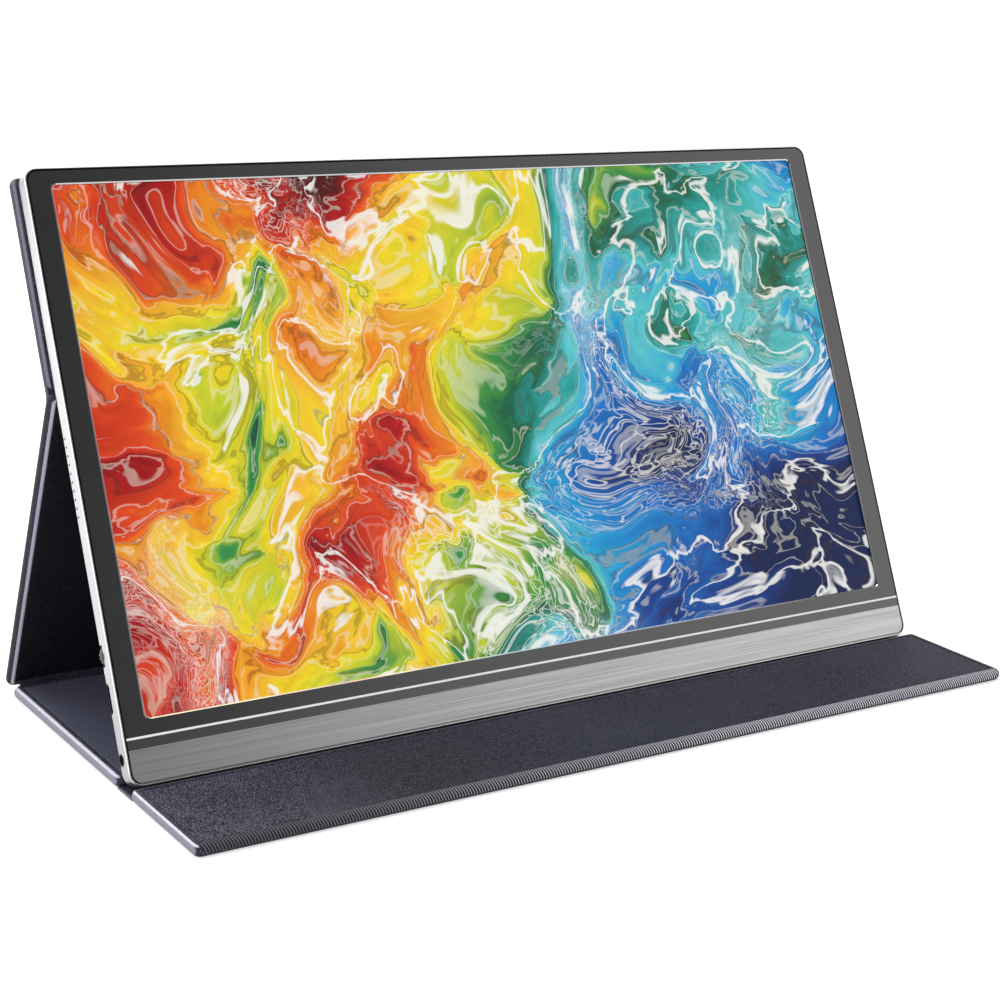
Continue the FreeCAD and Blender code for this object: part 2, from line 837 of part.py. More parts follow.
def board_notch(body, left, depth, middle, wide):
    corner = (left, f"{middle} - ({wide})/2", "board_back - overrun")
    box(body, (depth, wide, "board_thick + 2*overrun"), corner, cut=True)


def side_board():
    body = sub_part("side_board")
    tall = "side_top - side_bottom"
    corner = ("board_edge - side_width", "side_bottom", "board_back")
    box(body, ("side_width", tall, "board_thick"), corner)
    depth = "usb_depth + 2*port_clear"
    wide = "usb_mouth + 2*socket_wall + 2*port_clear"
    for middle in ("usb_low_middle", "usb_high_middle"):
        board_notch(body, f"inner_half - ({depth})", depth, middle, wide)
    depth = "button_flange + button_stem_length + button_travel + button_clear"
    wide = "button_length + 2*button_flange_rim + 4*button_clear"
    board_notch(body, f"inner_half - ({depth})", depth, "button_middle", wide)
    screw_holes(body, screw_places()[2:])
    stand(body, "display")


def shield_can():
    body = sub_part("shield_can")
    corner = ("can_left - board_edge", "main_bottom + can_above", "board_front")
    box(body, ("can_width", "can_height", "can_thick"), corner)
    inner = ("can_width - 2*can_sheet", "can_height - 2*can_sheet", "can_thick - can_sheet + overrun")
    corner = (
        "can_left - board_edge + can_sheet",
        "main_bottom + can_above + can_sheet",
        "board_front - overrun",
    )
    box(body, inner, corner, cut=True)
    stand(body, "display")


def board_components():
    # Video chip under the can, coil, status lamp and the cable plugs
    body = sub_part("board_components")
    middle_x = "can_left - board_edge + can_width/2"
    middle_y = "main_bottom + can_above + can_height/2"
    chip = (f"{middle_x} - chip_side/2", f"{middle_y} - chip_side/2", "board_front")
    box(body, ("chip_side", "chip_side", "chip_thick"), chip)
    coil = ("can_left - board_edge + can_width + coil_side/2", f"{middle_y} - coil_side/2", "board_front")
    box(body, ("coil_side", "coil_side", "plug_thick"), coil)
    lamp = ("-board_edge", "light_middle - light_chip/2", "board_front")
    box(body, ("light_chip", "light_chip", "light_chip_rise"), lamp)
    cable_plug = ("plug_left", "tray_bottom + timing_above", "board_front")
    box(body, ("plug_width", "plug_height", "plug_thick"), cable_plug)
    rise = "board_back - shell_floor - ribbon_thick"
    for left in ("main_width - board_edge - ribbon_grip", "board_edge - side_width"):
        corner = (left, "ribbon_bottom", "shell_floor + ribbon_thick")
        box(body, ("ribbon_grip", "ribbon_width", rise), corner)
    stand(body, "display")


def display_cable():
    # From the plug on the main board to the back of the timing board
    body = sub_part("display_cable")
    length = "-timing_left + ribbon_grip - plug_left"
    corner = ("plug_left", "tray_bottom + timing_above", "board_front + plug_thick")
    box(body, (length, "plug_height", "tray_back - board_thick - board_front - plug_thick"), corner)
    stand(body, "display")


def board_link():
    # Flat cable on the shell's floor, from under one board to under the other
    body = sub_part("board_link")
    left = "main_width - board_edge - ribbon_grip"
    length = f"board_edge - side_width + ribbon_grip - ({left})"
    box(body, (length, "ribbon_width", "ribbon_thick"), (left, "ribbon_bottom", "shell_floor"))
    stand(body, "display")


def board_screws():
    body = sub_part("board_screws")
    for x, y in screw_places():
        cylinder(body, "screw_head_radius", "screw_head_height", (x, y, "board_front"))
        length = "board_thick + pilot_depth - screw_clear"
        start = (x, y, f"board_front - ({length})")
        cylinder(body, "pilot_radius - screw_clear", length, start)
    stand(body, "display")


# Display: sockets, speakers and controls


def socket(name, side, middle, mouth, rise, depth):
    # Metal shell round a tongue, open towards the side wall
    body = sub_part(name)
    wide, tall = f"{mouth} + 2*socket_wall", f"{rise} + 2*socket_wall"
    start = "-inner_half" if side < 0 else f"inner_half - {depth}"
    inner = start if side < 0 else f"{start} + socket_wall"
    bottom = f"port_level - ({tall})/2"
    box(body, (depth, wide, tall), (start, f"{middle} - ({wide})/2", bottom))
    length = f"{depth} - socket_wall + overrun"
    inner = f"{inner} - overrun" if side < 0 else inner
    slot(body, inner, middle, "port_level", length, mouth, rise)
    tongue = f"{depth} - tongue_setback"
    left = f"{start} + tongue_setback" if side < 0 else start
    corner = (left, f"{middle} - {mouth}/2 + tongue_side", "port_level - tongue_thick/2")
    box(body, (tongue, f"{mouth} - 2*tongue_side", "tongue_thick"), corner)
    stand(body, "display")


def audio_jack():
    body = sub_part("audio_jack")
    corner = ("-inner_half", "jack_middle - jack_width/2", "shell_floor")
    box(body, ("jack_depth", "jack_width", "jack_tall"), corner)
    mouth = ("-display_width/2", "jack_middle", "jack_level")
    cylinder(body, "jack_collar", "shell_wall + jack_depth/2", mouth, along="x")
    cylinder(body, "jack_bore", "jack_bore_depth", mouth, along="x", cut=True)
    stand(body, "display")


def menu_wheel():
    # Disc on an upright pin, with a notched rim
    body = sub_part("menu_wheel")
    start = ("wheel_x", "wheel_middle", "wheel_back")
    cylinder(body, "wheel_radius", "wheel_thick", start)
    cut_start = ("wheel_x", "wheel_middle", "wheel_back - overrun")
    through = "wheel_thick + 2*overrun"
    cylinder(body, "wheel_pin + wheel_pin_clear", through, cut_start, cut=True)
    for notch in range(WHEEL_NOTCHES):
        turn = 360 * notch / WHEEL_NOTCHES
        rim = (f"wheel_x + wheel_radius*cos({turn})", f"wheel_middle + wheel_radius*sin({turn})")
        cylinder(body, "wheel_notch", through, (*rim, "wheel_back - overrun"), cut=True)
    stand(body, "display")


def wheel_switch():
    # Seat and pin of the menu wheel, with the switch block behind the wheel
    body = sub_part("wheel_switch")
    half = "wheel_radius + wheel_clear"
    low = f"wheel_middle - ({half})"
    seat_top = "wheel_back - wheel_float"
    reach = f"{half} + switch_reach + wheel_pin"
    corner = ("wheel_x - wheel_pin", low, "shell_floor")
    box(body, (reach, f"2*({half})", f"{seat_top} - shell_floor"), corner)
    block = (f"wheel_x + {half}", low, "shell_floor")
    box(body, ("switch_reach", f"2*({half})", f"{seat_top} - shell_floor + wheel_thick"), block)
    pin = ("wheel_x", "wheel_middle", "shell_floor")
    length = "wheel_back + wheel_thick + wheel_pin_spare - shell_floor"
    cylinder(body, "wheel_pin", length, pin)
    stand(body, "display")


def status_light():
    body = sub_part("status_light")
    start = ("-display_width/2", "light_middle", "port_level")
    cylinder(body, "light_radius", "shell_wall + board_inset", start, along="x")
    stand(body, "display")


def speaker(name, side):
    # Flat speaker box, open towards the grille inside a thin lip
    body = sub_part(name)
    tall = "tray_back - shell_floor - module_clear"
    length = f"{GRILLE_ROWS}*grille_pitch + 2*speaker_spare"
    low = "grille_first - grille_pitch/2 - speaker_spare"
    near = "inner_half - mesh_thick"
    left = f"-({near})" if side < 0 else f"{near} - speaker_depth"
    box(body, ("speaker_depth", length, tall), (left, low, "shell_floor"))
    mouth = ("speaker_mouth + overrun", f"{length} - 2*speaker_lip", f"{tall} - 2*speaker_lip")
    start = f"-({near}) - overrun" if side < 0 else f"{near} - speaker_mouth"
    box(body, mouth, (start, f"{low} + speaker_lip", "shell_floor + speaker_lip"), cut=True)
    stand(body, "display")


def speaker_meshes():
    body = sub_part("speaker_meshes")
    tall = "tray_back - shell_floor - module_clear"
    length = f"{GRILLE_ROWS}*grille_pitch + 2*speaker_spare"
    low = "grille_first - grille_pitch/2 - speaker_spare"
    for left in ("-inner_half", "inner_half - mesh_thick"):
        box(body, ("mesh_thick", length, tall), (left, low, "shell_floor"))
    stand(body, "display")


def power_button():
    # Pill-shaped cap held by a flange inside the wall, with a stem to its switch
    body = sub_part("power_button")
    flat = "button_length - button_rise"
    left = "inner_half - button_clear"
    depth = "shell_wall + button_clear + button_proud"
    corner = (left, f"button_middle - ({flat})/2", "port_level - button_rise/2")
    box(body, (depth, flat, "button_rise"), corner)
    for side in (-1, 1):
        centre = (left, f"button_middle + {side}*({flat})/2", "port_level")
        cylinder(body, "button_rise/2", depth, centre, along="x")
    long = "button_length + 2*button_flange_rim"
    rise = "button_rise + button_flange_rim"
    corner = (f"{left} - button_flange", f"button_middle - ({long})/2", f"port_level - ({rise})/2")
    box(body, ("button_flange", long, rise), corner)
    corner = (
        f"{left} - button_flange - button_stem_length",
        "button_middle - button_stem/2",
        "port_level - button_stem/2",
    )
    box(body, ("button_stem_length", "button_stem", "button_stem"), corner)
    stand(body, "display")


def power_switch():
    # Small press switch on the side board, just behind the button's stem
    body = sub_part("power_switch")
    near = "inner_half - 2*button_clear - button_flange - button_stem_length - button_travel"
    corner = (f"{near} - tact_depth", "button_middle - tact_width/2", "board_front")
    box(body, ("tact_depth", "tact_width", "tact_rise"), corner)
    stand(body, "display")


def shell_magnets():
    body = sub_part("shell_magnets")
    for share in BACK_MAGNET_SHARES:
        corner = (
            f"{share}*display_width - magnet_length/2",
            "magnet_height - magnet_width/2",
            "shell_floor",
        )
        box(body, ("magnet_length", "magnet_width", "shell_magnet_thick"), corner)
    stand(body, "display")


def export():
    # Every object has to be whole before any file is written
    doc.recompute()
    failed = [o.Label for o in doc.Objects if {"Invalid", "Error"} & set(o.State)]
    failed += [b.Label for b in sub_parts if b.Shape.isNull() or not b.Shape.isValid()]
    if failed:
        raise RuntimeError("failed: " + ", ".join(failed))
    os.makedirs("parts", exist_ok=True)
    for body in sub_parts:
        body.Shape.exportStep(f"parts/{body.Label}.step")
        print(body.Label, len(body.Shape.Solids), round(body.Shape.Volume, 1))


fill_sheet("dims", {name: str(size) for name, size in DIMENSIONS.items()})
fill_sheet("layout", {name: "=" + formula(text) for name, text in LAYOUT.items()})

cover_panels()
spine_strip()
groove_strip()

rear_shell()
front_bezel()
chin_bar()
trim_strip()
screen_module()
main_board()
side_board()
shield_can()
board_components()
display_cable()
board_link()
board_screws()

socket("mini_hdmi_port", -1, "hdmi_middle", "hdmi_mouth", "hdmi_rise", "hdmi_depth")
socket("usb_c_port_low", 1, "usb_low_middle", "usb_mouth", "usb_rise", "usb_depth")
socket("usb_c_port_high", 1, "usb_high_middle", "usb_mouth", "usb_rise", "usb_depth")
audio_jack()
menu_wheel()
wheel_switch()
status_light()
speaker("left_speaker", -1)
speaker("right_speaker", 1)
speaker_meshes()
power_button()
power_switch()
shell_magnets()

export()
for place in LAYOUT:
    print(place, round(number(place), 5))
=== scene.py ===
import json
import math

import bmesh
import bpy
from mathutils import Matrix, Vector


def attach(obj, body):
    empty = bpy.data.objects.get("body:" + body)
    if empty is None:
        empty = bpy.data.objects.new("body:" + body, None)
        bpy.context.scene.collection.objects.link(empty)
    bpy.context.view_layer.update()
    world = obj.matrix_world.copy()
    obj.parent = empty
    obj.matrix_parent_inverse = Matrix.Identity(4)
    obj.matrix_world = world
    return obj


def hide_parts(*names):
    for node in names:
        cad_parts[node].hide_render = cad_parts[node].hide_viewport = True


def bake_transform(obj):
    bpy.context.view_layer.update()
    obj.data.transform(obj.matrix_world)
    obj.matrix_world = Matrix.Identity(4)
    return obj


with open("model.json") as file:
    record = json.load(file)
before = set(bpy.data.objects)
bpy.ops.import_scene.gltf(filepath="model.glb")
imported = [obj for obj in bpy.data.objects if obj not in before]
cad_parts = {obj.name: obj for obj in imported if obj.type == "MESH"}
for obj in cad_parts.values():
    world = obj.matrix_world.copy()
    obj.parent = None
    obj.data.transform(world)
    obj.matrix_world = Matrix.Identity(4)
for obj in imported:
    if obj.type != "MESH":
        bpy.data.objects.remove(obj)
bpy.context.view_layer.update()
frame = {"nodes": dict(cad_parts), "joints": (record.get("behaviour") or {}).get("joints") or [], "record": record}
joints = {joint["name"]: joint for joint in frame["joints"]}
mm = 0.001


# Shader maths

class Wire:
    # a socket: sums on it add nodes to its own tree
    def __init__(self, tree, socket=None):
        self.tree = tree
        self.socket = socket

    def node(self, kind, settings=None, sockets=None, out=0):
        made = self.tree.nodes.new("ShaderNode" + kind)
        for key, value in (settings or {}).items():
            if key == "stops":
                fillRamp(made.color_ramp, value)
            else:
                setattr(made, key, value)
        for key, value in (sockets or {}).items():
            if isinstance(value, Wire):
                self.tree.links.new(value.socket, made.inputs[key])
            else:
                made.inputs[key].default_value = value
        if isinstance(out, tuple):
            return [Wire(self.tree, made.outputs[name]) for name in out]
        return Wire(self.tree, made.outputs[out] if made.outputs else None)

    def combine(self, operation, first, second):
        kinds = {side.socket.type for side in (first, second) if isinstance(side, Wire)}
        if "RGBA" in kinds:
            first, second = widen(first, 3, (1,)), widen(second, 3, (1,))
            settings = {"data_type": "RGBA", "blend_type": operation}
            return self.node("Mix", settings, {0: 1.0, 6: first, 7: second}, 2)
        if "VECTOR" in kinds:
            first, second = widen(first, 3), widen(second, 3)
            return self.node("VectorMath", {"operation": operation}, {0: first, 1: second})
        return self.node("Math", {"operation": operation}, {0: first, 1: second})

    def __add__(self, other):
        return self.combine("ADD", self, other)

    def __radd__(self, other):
        return self.combine("ADD", other, self)

    def __sub__(self, other):
        return self.combine("SUBTRACT", self, other)

    def __rsub__(self, other):
        return self.combine("SUBTRACT", other, self)

    def __mul__(self, other):
        return self.combine("MULTIPLY", self, other)

    def __truediv__(self, other):
        return self.combine("DIVIDE", self, other)

    def __gt__(self, other):
        return self.combine("GREATER_THAN", self, other)

    def __lt__(self, other):
        return self.combine("LESS_THAN", self, other)

    def __abs__(self):
        return self.node("Math", {"operation": "ABSOLUTE"}, {0: self})


def widen(side, count, tail=()):
    # a plain number becomes that number on each channel
    return side if isinstance(side, (Wire, tuple)) else (side,) * count + tail


def fillRamp(ramp, stops):
    while len(ramp.elements) < len(stops):
        ramp.elements.new(0.5)
    for element, (place, tone) in zip(ramp.elements, stops):
        element.position = place
        element.color = (*tone, 1)


def startFinish(name):
    material = bpy.data.materials.new(name)
    material.use_nodes = True
    material.node_tree.nodes.clear()
    return material, Wire(material.node_tree)


def closeFinish(start, sockets):
    surface = start.node("BsdfPrincipled", None, sockets)
    start.node("OutputMaterial", None, {"Surface": surface})


midGrey = (0.5, 0.5, 0.5, 1)


def tint(tone):
    return (*tone, 1)


def blendTones(start, factor, low, high):
    low = low if isinstance(low, Wire) else tint(low)
    high = high if isinstance(high, Wire) else tint(high)
    return start.node("Mix", {"data_type": "RGBA"}, {0: factor, 6: low, 7: high}, 2)


def step(start, value, low, high):
    sockets = {"Value": value, "From Min": low, "From Max": high}
    return start.node("MapRange", {"interpolation_type": "SMOOTHSTEP"}, sockets)


def noise(start, place, scale, detail=3.0, rough=0.5, out="Fac"):
    sockets = {"Vector": place, "Scale": scale, "Detail": detail, "Roughness": rough}
    return start.node("TexNoise", None, sockets, out)


def bump(start, height, depth, strength=1.0):
    return start.node("Bump", None, {"Height": height, "Distance": depth, "Strength": strength})


def cellEdge(start, place, scale):
    sockets = {"Vector": place, "Scale": scale}
    return start.node("TexVoronoi", {"feature": "DISTANCE_TO_EDGE"}, sockets, "Distance")


def maths(start, operation, *values):
    return start.node("Math", {"operation": operation}, dict(enumerate(values)))


def ownPlace(start):
    return start.node("TexCoord", None, None, "Object")


def stretched(start, place, scale):
    return start.node("Mapping", None, {"Vector": place, "Scale": scale})


# The display's own frame: X across, Y up the screen, Z from its back to its front
display = {
    "tilt": math.radians(24.2),
    "foot": (0, -33.31339 * mm, 3.74119 * mm),
    "thick": 8.8 * mm,
    "openingHalf": (172.1 * mm, 96.8 * mm),
    "openingMiddle": 119.9 * mm,
    "openingCorner": 2 * mm,
    "chamfer": 0.42 * mm,
    "trimMiddle": 16.9 * mm,
}
upScreen = Vector((0, math.sin(display["tilt"]), math.cos(display["tilt"])))
outOfScreen = Vector((0, -math.cos(display["tilt"]), math.sin(display["tilt"])))
displayOrigin = Vector(display["foot"]) - display["thick"] * outOfScreen


def screenPlace(start):
    sockets = {
        "Vector": ownPlace(start),
        "Location": displayOrigin,
        "Rotation": (math.pi / 2 - display["tilt"], 0, 0),
    }
    return start.node("Mapping", {"vector_type": "TEXTURE"}, sockets)


def split(start, place):
    return start.node("SeparateXYZ", None, {0: place}, ("X", "Y", "Z"))


# Finishes of the cover

cover = {
    "half": 183.6 * mm,
    "thick": 4.8 * mm,
    "nose": 2.4 * mm,
    "corner": 3.0 * mm,
    "leastCorner": 0.3 * mm,
    "border": 3.2 * mm,
    "liningGap": 0.06 * mm,
    "liningTop": 4.6 * mm,
    "liningBottom": 3.72 * mm,
    "floor": 0.88 * mm,
    "cornerSteps": 8,
    "edgeSteps": 14,
    "edgePower": 2.2,
}
coverLeather = {
    "tone": (0.014, 0.014, 0.023),
    "crest": (0.088, 0.089, 0.136),
    "grain": 0.95 * mm,
    "depth": 0.16 * mm,
    "roughness": 0.46,
    "gloss": 0.18,
}
plainLining = {
    "tone": (0.013, 0.013, 0.024),
    "crest": (0.152, 0.153, 0.226),
    "grain": 1.0 * mm,
    "depth": 0.16 * mm,
    "roughness": 0.55,
    "gloss": 0.12,
}
# painted light: the flap's lining is painted lighter at its left end, as if lit from the left, and darker and
# calmer from there on
flapLining = dict(plainLining, paintedLightFade=(-175 * mm, -85 * mm))
# painted light and shade: the base gets a lighter copy of the lining to offset the shade under the display, the
# leg and back a near-black copy, painted shade inside the leg
baseLining = dict(plainLining, tone=(0.064, 0.065, 0.098), crest=(0.118, 0.120, 0.177), depth=0.06 * mm)
legLining = dict(plainLining, tone=(0.006, 0.006, 0.009), crest=(0.023, 0.023, 0.033), depth=0.08 * mm)
# painted highlight: near-white tone for the tops of the hem's ribs
hemLeather = dict(coverLeather, crest=(0.88, 0.88, 0.98), grain=0.5 * mm, depth=0.05 * mm)
# painted light at both sides of each panel and of the groove: the flank painted in a lit tone (a shaded one on the
# leg), and a painted highlight line along the rolled edge above it
paintedEdgeLight = {
    "base": {"paintedFlank": (0.27, 0.265, 0.335), "line": (0.68, 0.67, 0.80)},
    "flap": {"paintedFlank": (0.25, 0.245, 0.31), "line": (0.72, 0.71, 0.84), "to": (4.36 * mm, 4.56 * mm)},
    "leg": {
        "paintedFlank": (0.022, 0.021, 0.031),
        "line": (0.56, 0.55, 0.68),
        "from": (4.40 * mm, 4.58 * mm),
        "to": (5.0 * mm, 5.1 * mm),
        "inset": (2.1 * mm, 2.6 * mm),
    },
    "back": {"paintedFlank": (0.075, 0.070, 0.098), "line": (0.20, 0.19, 0.25)},
    "groove": {
        "paintedFlank": (0.20, 0.195, 0.25),
        "line": (0.20, 0.195, 0.25),
        "flankInset": (1.0 * mm, 1.6 * mm),
    },
}
# levels at which the painted highlight line starts and ends, and how far in it and the painted flank reach
plainEdgeLight = {
    "from": (3.7 * mm, 4.05 * mm),
    "to": (4.5 * mm, 4.7 * mm),
    "inset": (1.2 * mm, 2.0 * mm),
    "flankInset": (0.3 * mm, 0.9 * mm),
}


def paintedEdgeLightMasks(start, place, edge):
    shape = {**plainEdgeLight, **edge}
    across, _, level = split(start, place)
    inset = cover["half"] - abs(across)
    line = step(start, level, *shape["from"]) * (1 - step(start, level, *shape["to"]))
    paintedFlank = (1 - step(start, inset, *shape["flankInset"])) * (1 - step(start, level, *plainEdgeLight["from"]))
    return paintedFlank, line * (1 - step(start, inset, *shape["inset"]))


# how fine each layer of the leather's grain is, per metre
leatherLayers = {
    "drift": 260.0,
    "driftReach": 0.9 * mm,
    "fine": 2600.0,
    "lump": 420.0,
    "cloud": 55.0,
    "worn": 13.0,
}


def leatherFinish(name, look, mask=None, edge=None):
    material, start = startFinish(name)
    place = ownPlace(start)
    layers = leatherLayers
    drift = noise(start, place, layers["drift"], 2.0, out="Color")
    warped = place + (drift - midGrey) * layers["driftReach"]
    crack = cellEdge(start, warped, 1 / look["grain"])
    lot = start.node("TexVoronoi", None, {"Vector": warped, "Scale": 1 / look["grain"]}, "Color")
    pebble = step(start, crack, 0.02, 0.3)
    spark = step(start, start.node("SeparateColor", None, {0: lot}), 0.25, 1.0)
    fine = noise(start, place, layers["fine"], 2.0)
    cloud = noise(start, place, layers["cloud"], 4.0, 0.6)
    height = pebble * 0.7 + fine * 0.5 + noise(start, place, layers["lump"], 2.0) * 0.5
    worn = step(start, noise(start, place, layers["worn"], 2.0), 0.36, 0.64)
    speckle = pebble * (0.5 + spark * 0.5) * 0.85 + fine * 0.35 - 0.2
    shade = 0.36 + (speckle - 0.36) * (0.5 + worn * 0.7) + (cloud - 0.5) * 0.4
    # painted light: lighter at the flap's left end, darker from there on across
    if "paintedLightFade" in look:
        shade = shade * (1.6 - step(start, split(start, place)[0], *look["paintedLightFade"]) * 1.1)
    if mask:
        shade = mask(start, place)
    tone = blendTones(start, shade, look["tone"], look["crest"])
    roughness = look["roughness"] + (cloud - 0.5) * 0.16 + (0.5 - pebble) * 0.12
    # painted light: the flank is painted in a lit tone (a shaded one on the leg) and a painted highlight line runs
    # along the rolled edge
    if edge:
        paintedFlank, line = paintedEdgeLightMasks(start, place, edge)
        tone = blendTones(start, paintedFlank * (0.55 + fine * 0.8), tone, edge["paintedFlank"])
        tone = blendTones(start, line * (0.4 + fine * 1.0), tone, edge["line"])
        roughness = roughness - line * 0.16
    closeFinish(start, {
        "Base Color": tone,
        "Roughness": roughness,
        "Specular IOR Level": look["gloss"],
        "Normal": bump(start, height, look["depth"], 0.8),
    })
    return material


# Finishes of the display

shellSilver = {
    "tone": (0.72, 0.72, 0.74),
    "base": (0.62, 0.62, 0.64),
    # near-black painted shade for the holes, the inside and the front lip
    "hollowShadeTone": (0.012, 0.012, 0.013),
    "footTone": (0.22, 0.22, 0.22),
    "footHeight": 1.3 * mm,
    "half": (182.1 * mm, 111.6 * mm),
    "corner": 5 * mm,
    "skin": 0.16 * mm,
    "rearRound": 3 * mm,
    "lipWidth": 0.5 * mm,
    "lipDepth": 8.0 * mm,
    "roughness": 0.28,
    "blast": 0.012 * mm,
}


def roundedDistance(start, across, up, half, middle, corner):
    # how far a point lies outside a round-cornered rectangle, less than 0 inside it
    alongX = abs(across) - (half[0] - corner)
    alongY = abs(up - middle) - (half[1] - corner)
    reach = start.node("CombineXYZ", None, {0: alongX, 1: alongY})
    outside = start.node("VectorMath", {"operation": "MAXIMUM"}, {0: reach, 1: (0, 0, 0)})
    most = maths(start, "MINIMUM", maths(start, "MAXIMUM", alongX, alongY), 0.0)
    return start.node("VectorMath", {"operation": "LENGTH"}, {0: outside}, 1) + most - corner


def shellFinish():
    # silver outside; painted shade, near-black, in its holes and on its inside, and a painted shadow line along
    # the inner half of its front lip by the bezel
    material, start = startFinish("shellSilver")
    look = shellSilver
    place = screenPlace(start)
    across, up, depth = split(start, place)
    inward = roundedDistance(start, across, up, look["half"], look["half"][1], look["corner"])
    low = maths(start, "MINIMUM", depth, look["rearRound"])
    arc = maths(start, "SQRT", low * (2 * look["rearRound"] - low))
    outside = look["rearRound"] + look["skin"] - arc + (depth > look["lipDepth"]) * look["lipWidth"]
    # painted shade in the holes and inside, and a painted shadow line along the front lip
    paintedShade = (inward + outside < 0) * (depth > look["skin"])
    dark = blendTones(start, up < look["footHeight"], look["hollowShadeTone"], look["footTone"])
    cloud = noise(start, place, 90.0, 3.0)
    grit = noise(start, place, 5200.0, 2.0)
    silver = blendTones(start, cloud, look["base"], look["tone"])
    closeFinish(start, {
        "Base Color": blendTones(start, paintedShade, silver, dark),
        "Metallic": 1.0,
        "Roughness": look["roughness"] + (cloud - 0.5) * 0.08 + (grit - 0.5) * 0.06,
        "Normal": bump(start, grit, look["blast"], 0.6),
    })
    return material


bezelCharcoal = {
    "lowTone": (0.010, 0.010, 0.0105),
    "tone": (0.012, 0.012, 0.0125),
    "stripTone": (0.055, 0.055, 0.055),
    # partly the chamfer's own bright metal, partly painted highlight: it runs along the top, left and bottom,
    # wider on the left, and stops short of the right side, which stays dark as in shade
    "rimTone": (0.74, 0.74, 0.75),
    "roughness": 0.2,
    "gloss": 1.0,
    "rimDepth": 8.06 * mm,
    "leftLine": 0.45 * mm,
    "rimEnd": 0.4 * mm,
    "brush": (9.0, 2400.0, 2400.0),
    "grain": 0.006 * mm,
}


def bezelFinish():
    material, start = startFinish("bezelCharcoal")
    look = bezelCharcoal
    place = screenPlace(start)
    across, up, depth = split(start, place)
    opening = (display["openingHalf"], display["openingMiddle"], display["openingCorner"])
    reach = roundedDistance(start, across, up, *opening)
    # painted highlight on the chamfer, wider on the left and left out on the right
    onLeft = across < -display["openingHalf"][0]
    near = reach < display["chamfer"] + onLeft * look["leftLine"]
    rim = near * (depth > look["rimDepth"]) * (across < display["openingHalf"][0] - look["rimEnd"])
    cloud = noise(start, place, 60.0, 3.0)
    grit = noise(start, place, 4200.0, 2.0)
    brush = noise(start, stretched(start, place, look["brush"]), 1.0, 3.0)
    belowTrim = up < display["trimMiddle"]
    tone = blendTones(start, cloud, look["lowTone"], look["tone"])
    tone = blendTones(start, belowTrim * brush, tone, look["stripTone"])
    closeFinish(start, {
        "Base Color": blendTones(start, rim, tone, look["rimTone"]),
        "Metallic": rim,
        "Roughness": look["roughness"] + (cloud - 0.5) * 0.06 + (grit - 0.5) * 0.05 - rim * 0.2,
        "Specular IOR Level": look["gloss"],
        "Normal": bump(start, grit, look["grain"], 0.5),
    })
    return material


chinBrushed = {
    "low": (0.30, 0.30, 0.297),
    "high": (0.52, 0.52, 0.515),
    "roughness": 0.3,
    "streak": (7.0, 2700.0, 2700.0),
    "fineStreak": (26.0, 7200.0, 7200.0),
    "depth": 0.02 * mm,
}


def brushedFinish(name, look):
    material, start = startFinish(name)
    place = screenPlace(start)
    long = noise(start, stretched(start, place, look["streak"]), 1.0, 4.0, 0.62)
    short = noise(start, stretched(start, place, look["fineStreak"]), 1.0, 2.0)
    line = long * 0.6 + short * 0.4
    shade = step(start, line, 0.3, 0.7)
    closeFinish(start, {
        "Base Color": blendTones(start, shade, look["low"], look["high"]),
        "Metallic": 1.0,
        "Roughness": look["roughness"] + (0.5 - line) * 0.25,
        "Normal": bump(start, line, look["depth"], 0.5),
    })
    return material


# what sets bare metal and moulded or coated pieces apart
grits = {
    "metal": {"metallic": 1.0, "swing": 0.12, "strength": 0.4},
    "plastic": {"metallic": 0.0, "swing": 0.14, "strength": 0.5},
}
gritDepth = 0.01 * mm


def gritFinish(name, look, kind):
    material, start = startFinish(name)
    place = ownPlace(start)
    cloud = noise(start, place, look["cloud"], 3.0)
    grit = noise(start, place, look["grit"], 2.0)
    closeFinish(start, {
        "Base Color": blendTones(start, cloud, look["low"], look["high"]),
        "Metallic": grits[kind]["metallic"],
        "Roughness": look["roughness"] + (grit - 0.5) * grits[kind]["swing"],
        "Normal": bump(start, grit, gritDepth, grits[kind]["strength"]),
    })
    return material


screenArt = {
    "zoom": 9.0,
    "shift": (3.1, 7.4, 0.0),
    "across": 0.26,
    "up": -0.12,
    "spread": 1.9,
    "middleUp": 1.07,
    "swirls": ((0.85, 2.0, 2.2), (1.5, 3.0, 1.1), (3.4, 4.0, 0.5)),  # scale, detail and reach
    "cells": 17.0,
    "froth": 46.0,
    "paleRing": (0.95, 0.93, 0.80),
    "darkSeam": (0.05, 0.02, 0.015),
    "laceTone": (0.97, 0.96, 0.92),
    "foamTone": (0.96, 0.95, 0.90),
    "sprayTone": (0.96, 0.93, 0.88),
    "glass": (0.004, 0.004, 0.004),
    "stops": [
        (0.00, (0.10, 0.006, 0.008)),
        (0.08, (0.45, 0.012, 0.012)),
        (0.17, (0.75, 0.07, 0.015)),
        (0.24, (0.86, 0.26, 0.015)),
        (0.31, (0.92, 0.50, 0.03)),
        (0.36, (0.90, 0.68, 0.02)),
        (0.43, (0.55, 0.62, 0.03)),
        (0.49, (0.05, 0.30, 0.06)),
        (0.55, (0.01, 0.12, 0.06)),
        (0.61, (0.02, 0.36, 0.33)),
        (0.67, (0.10, 0.56, 0.60)),
        (0.73, (0.015, 0.34, 0.66)),
        (0.83, (0.01, 0.16, 0.52)),
        (0.92, (0.008, 0.05, 0.26)),
        (1.00, (0.005, 0.015, 0.08)),
    ],
}


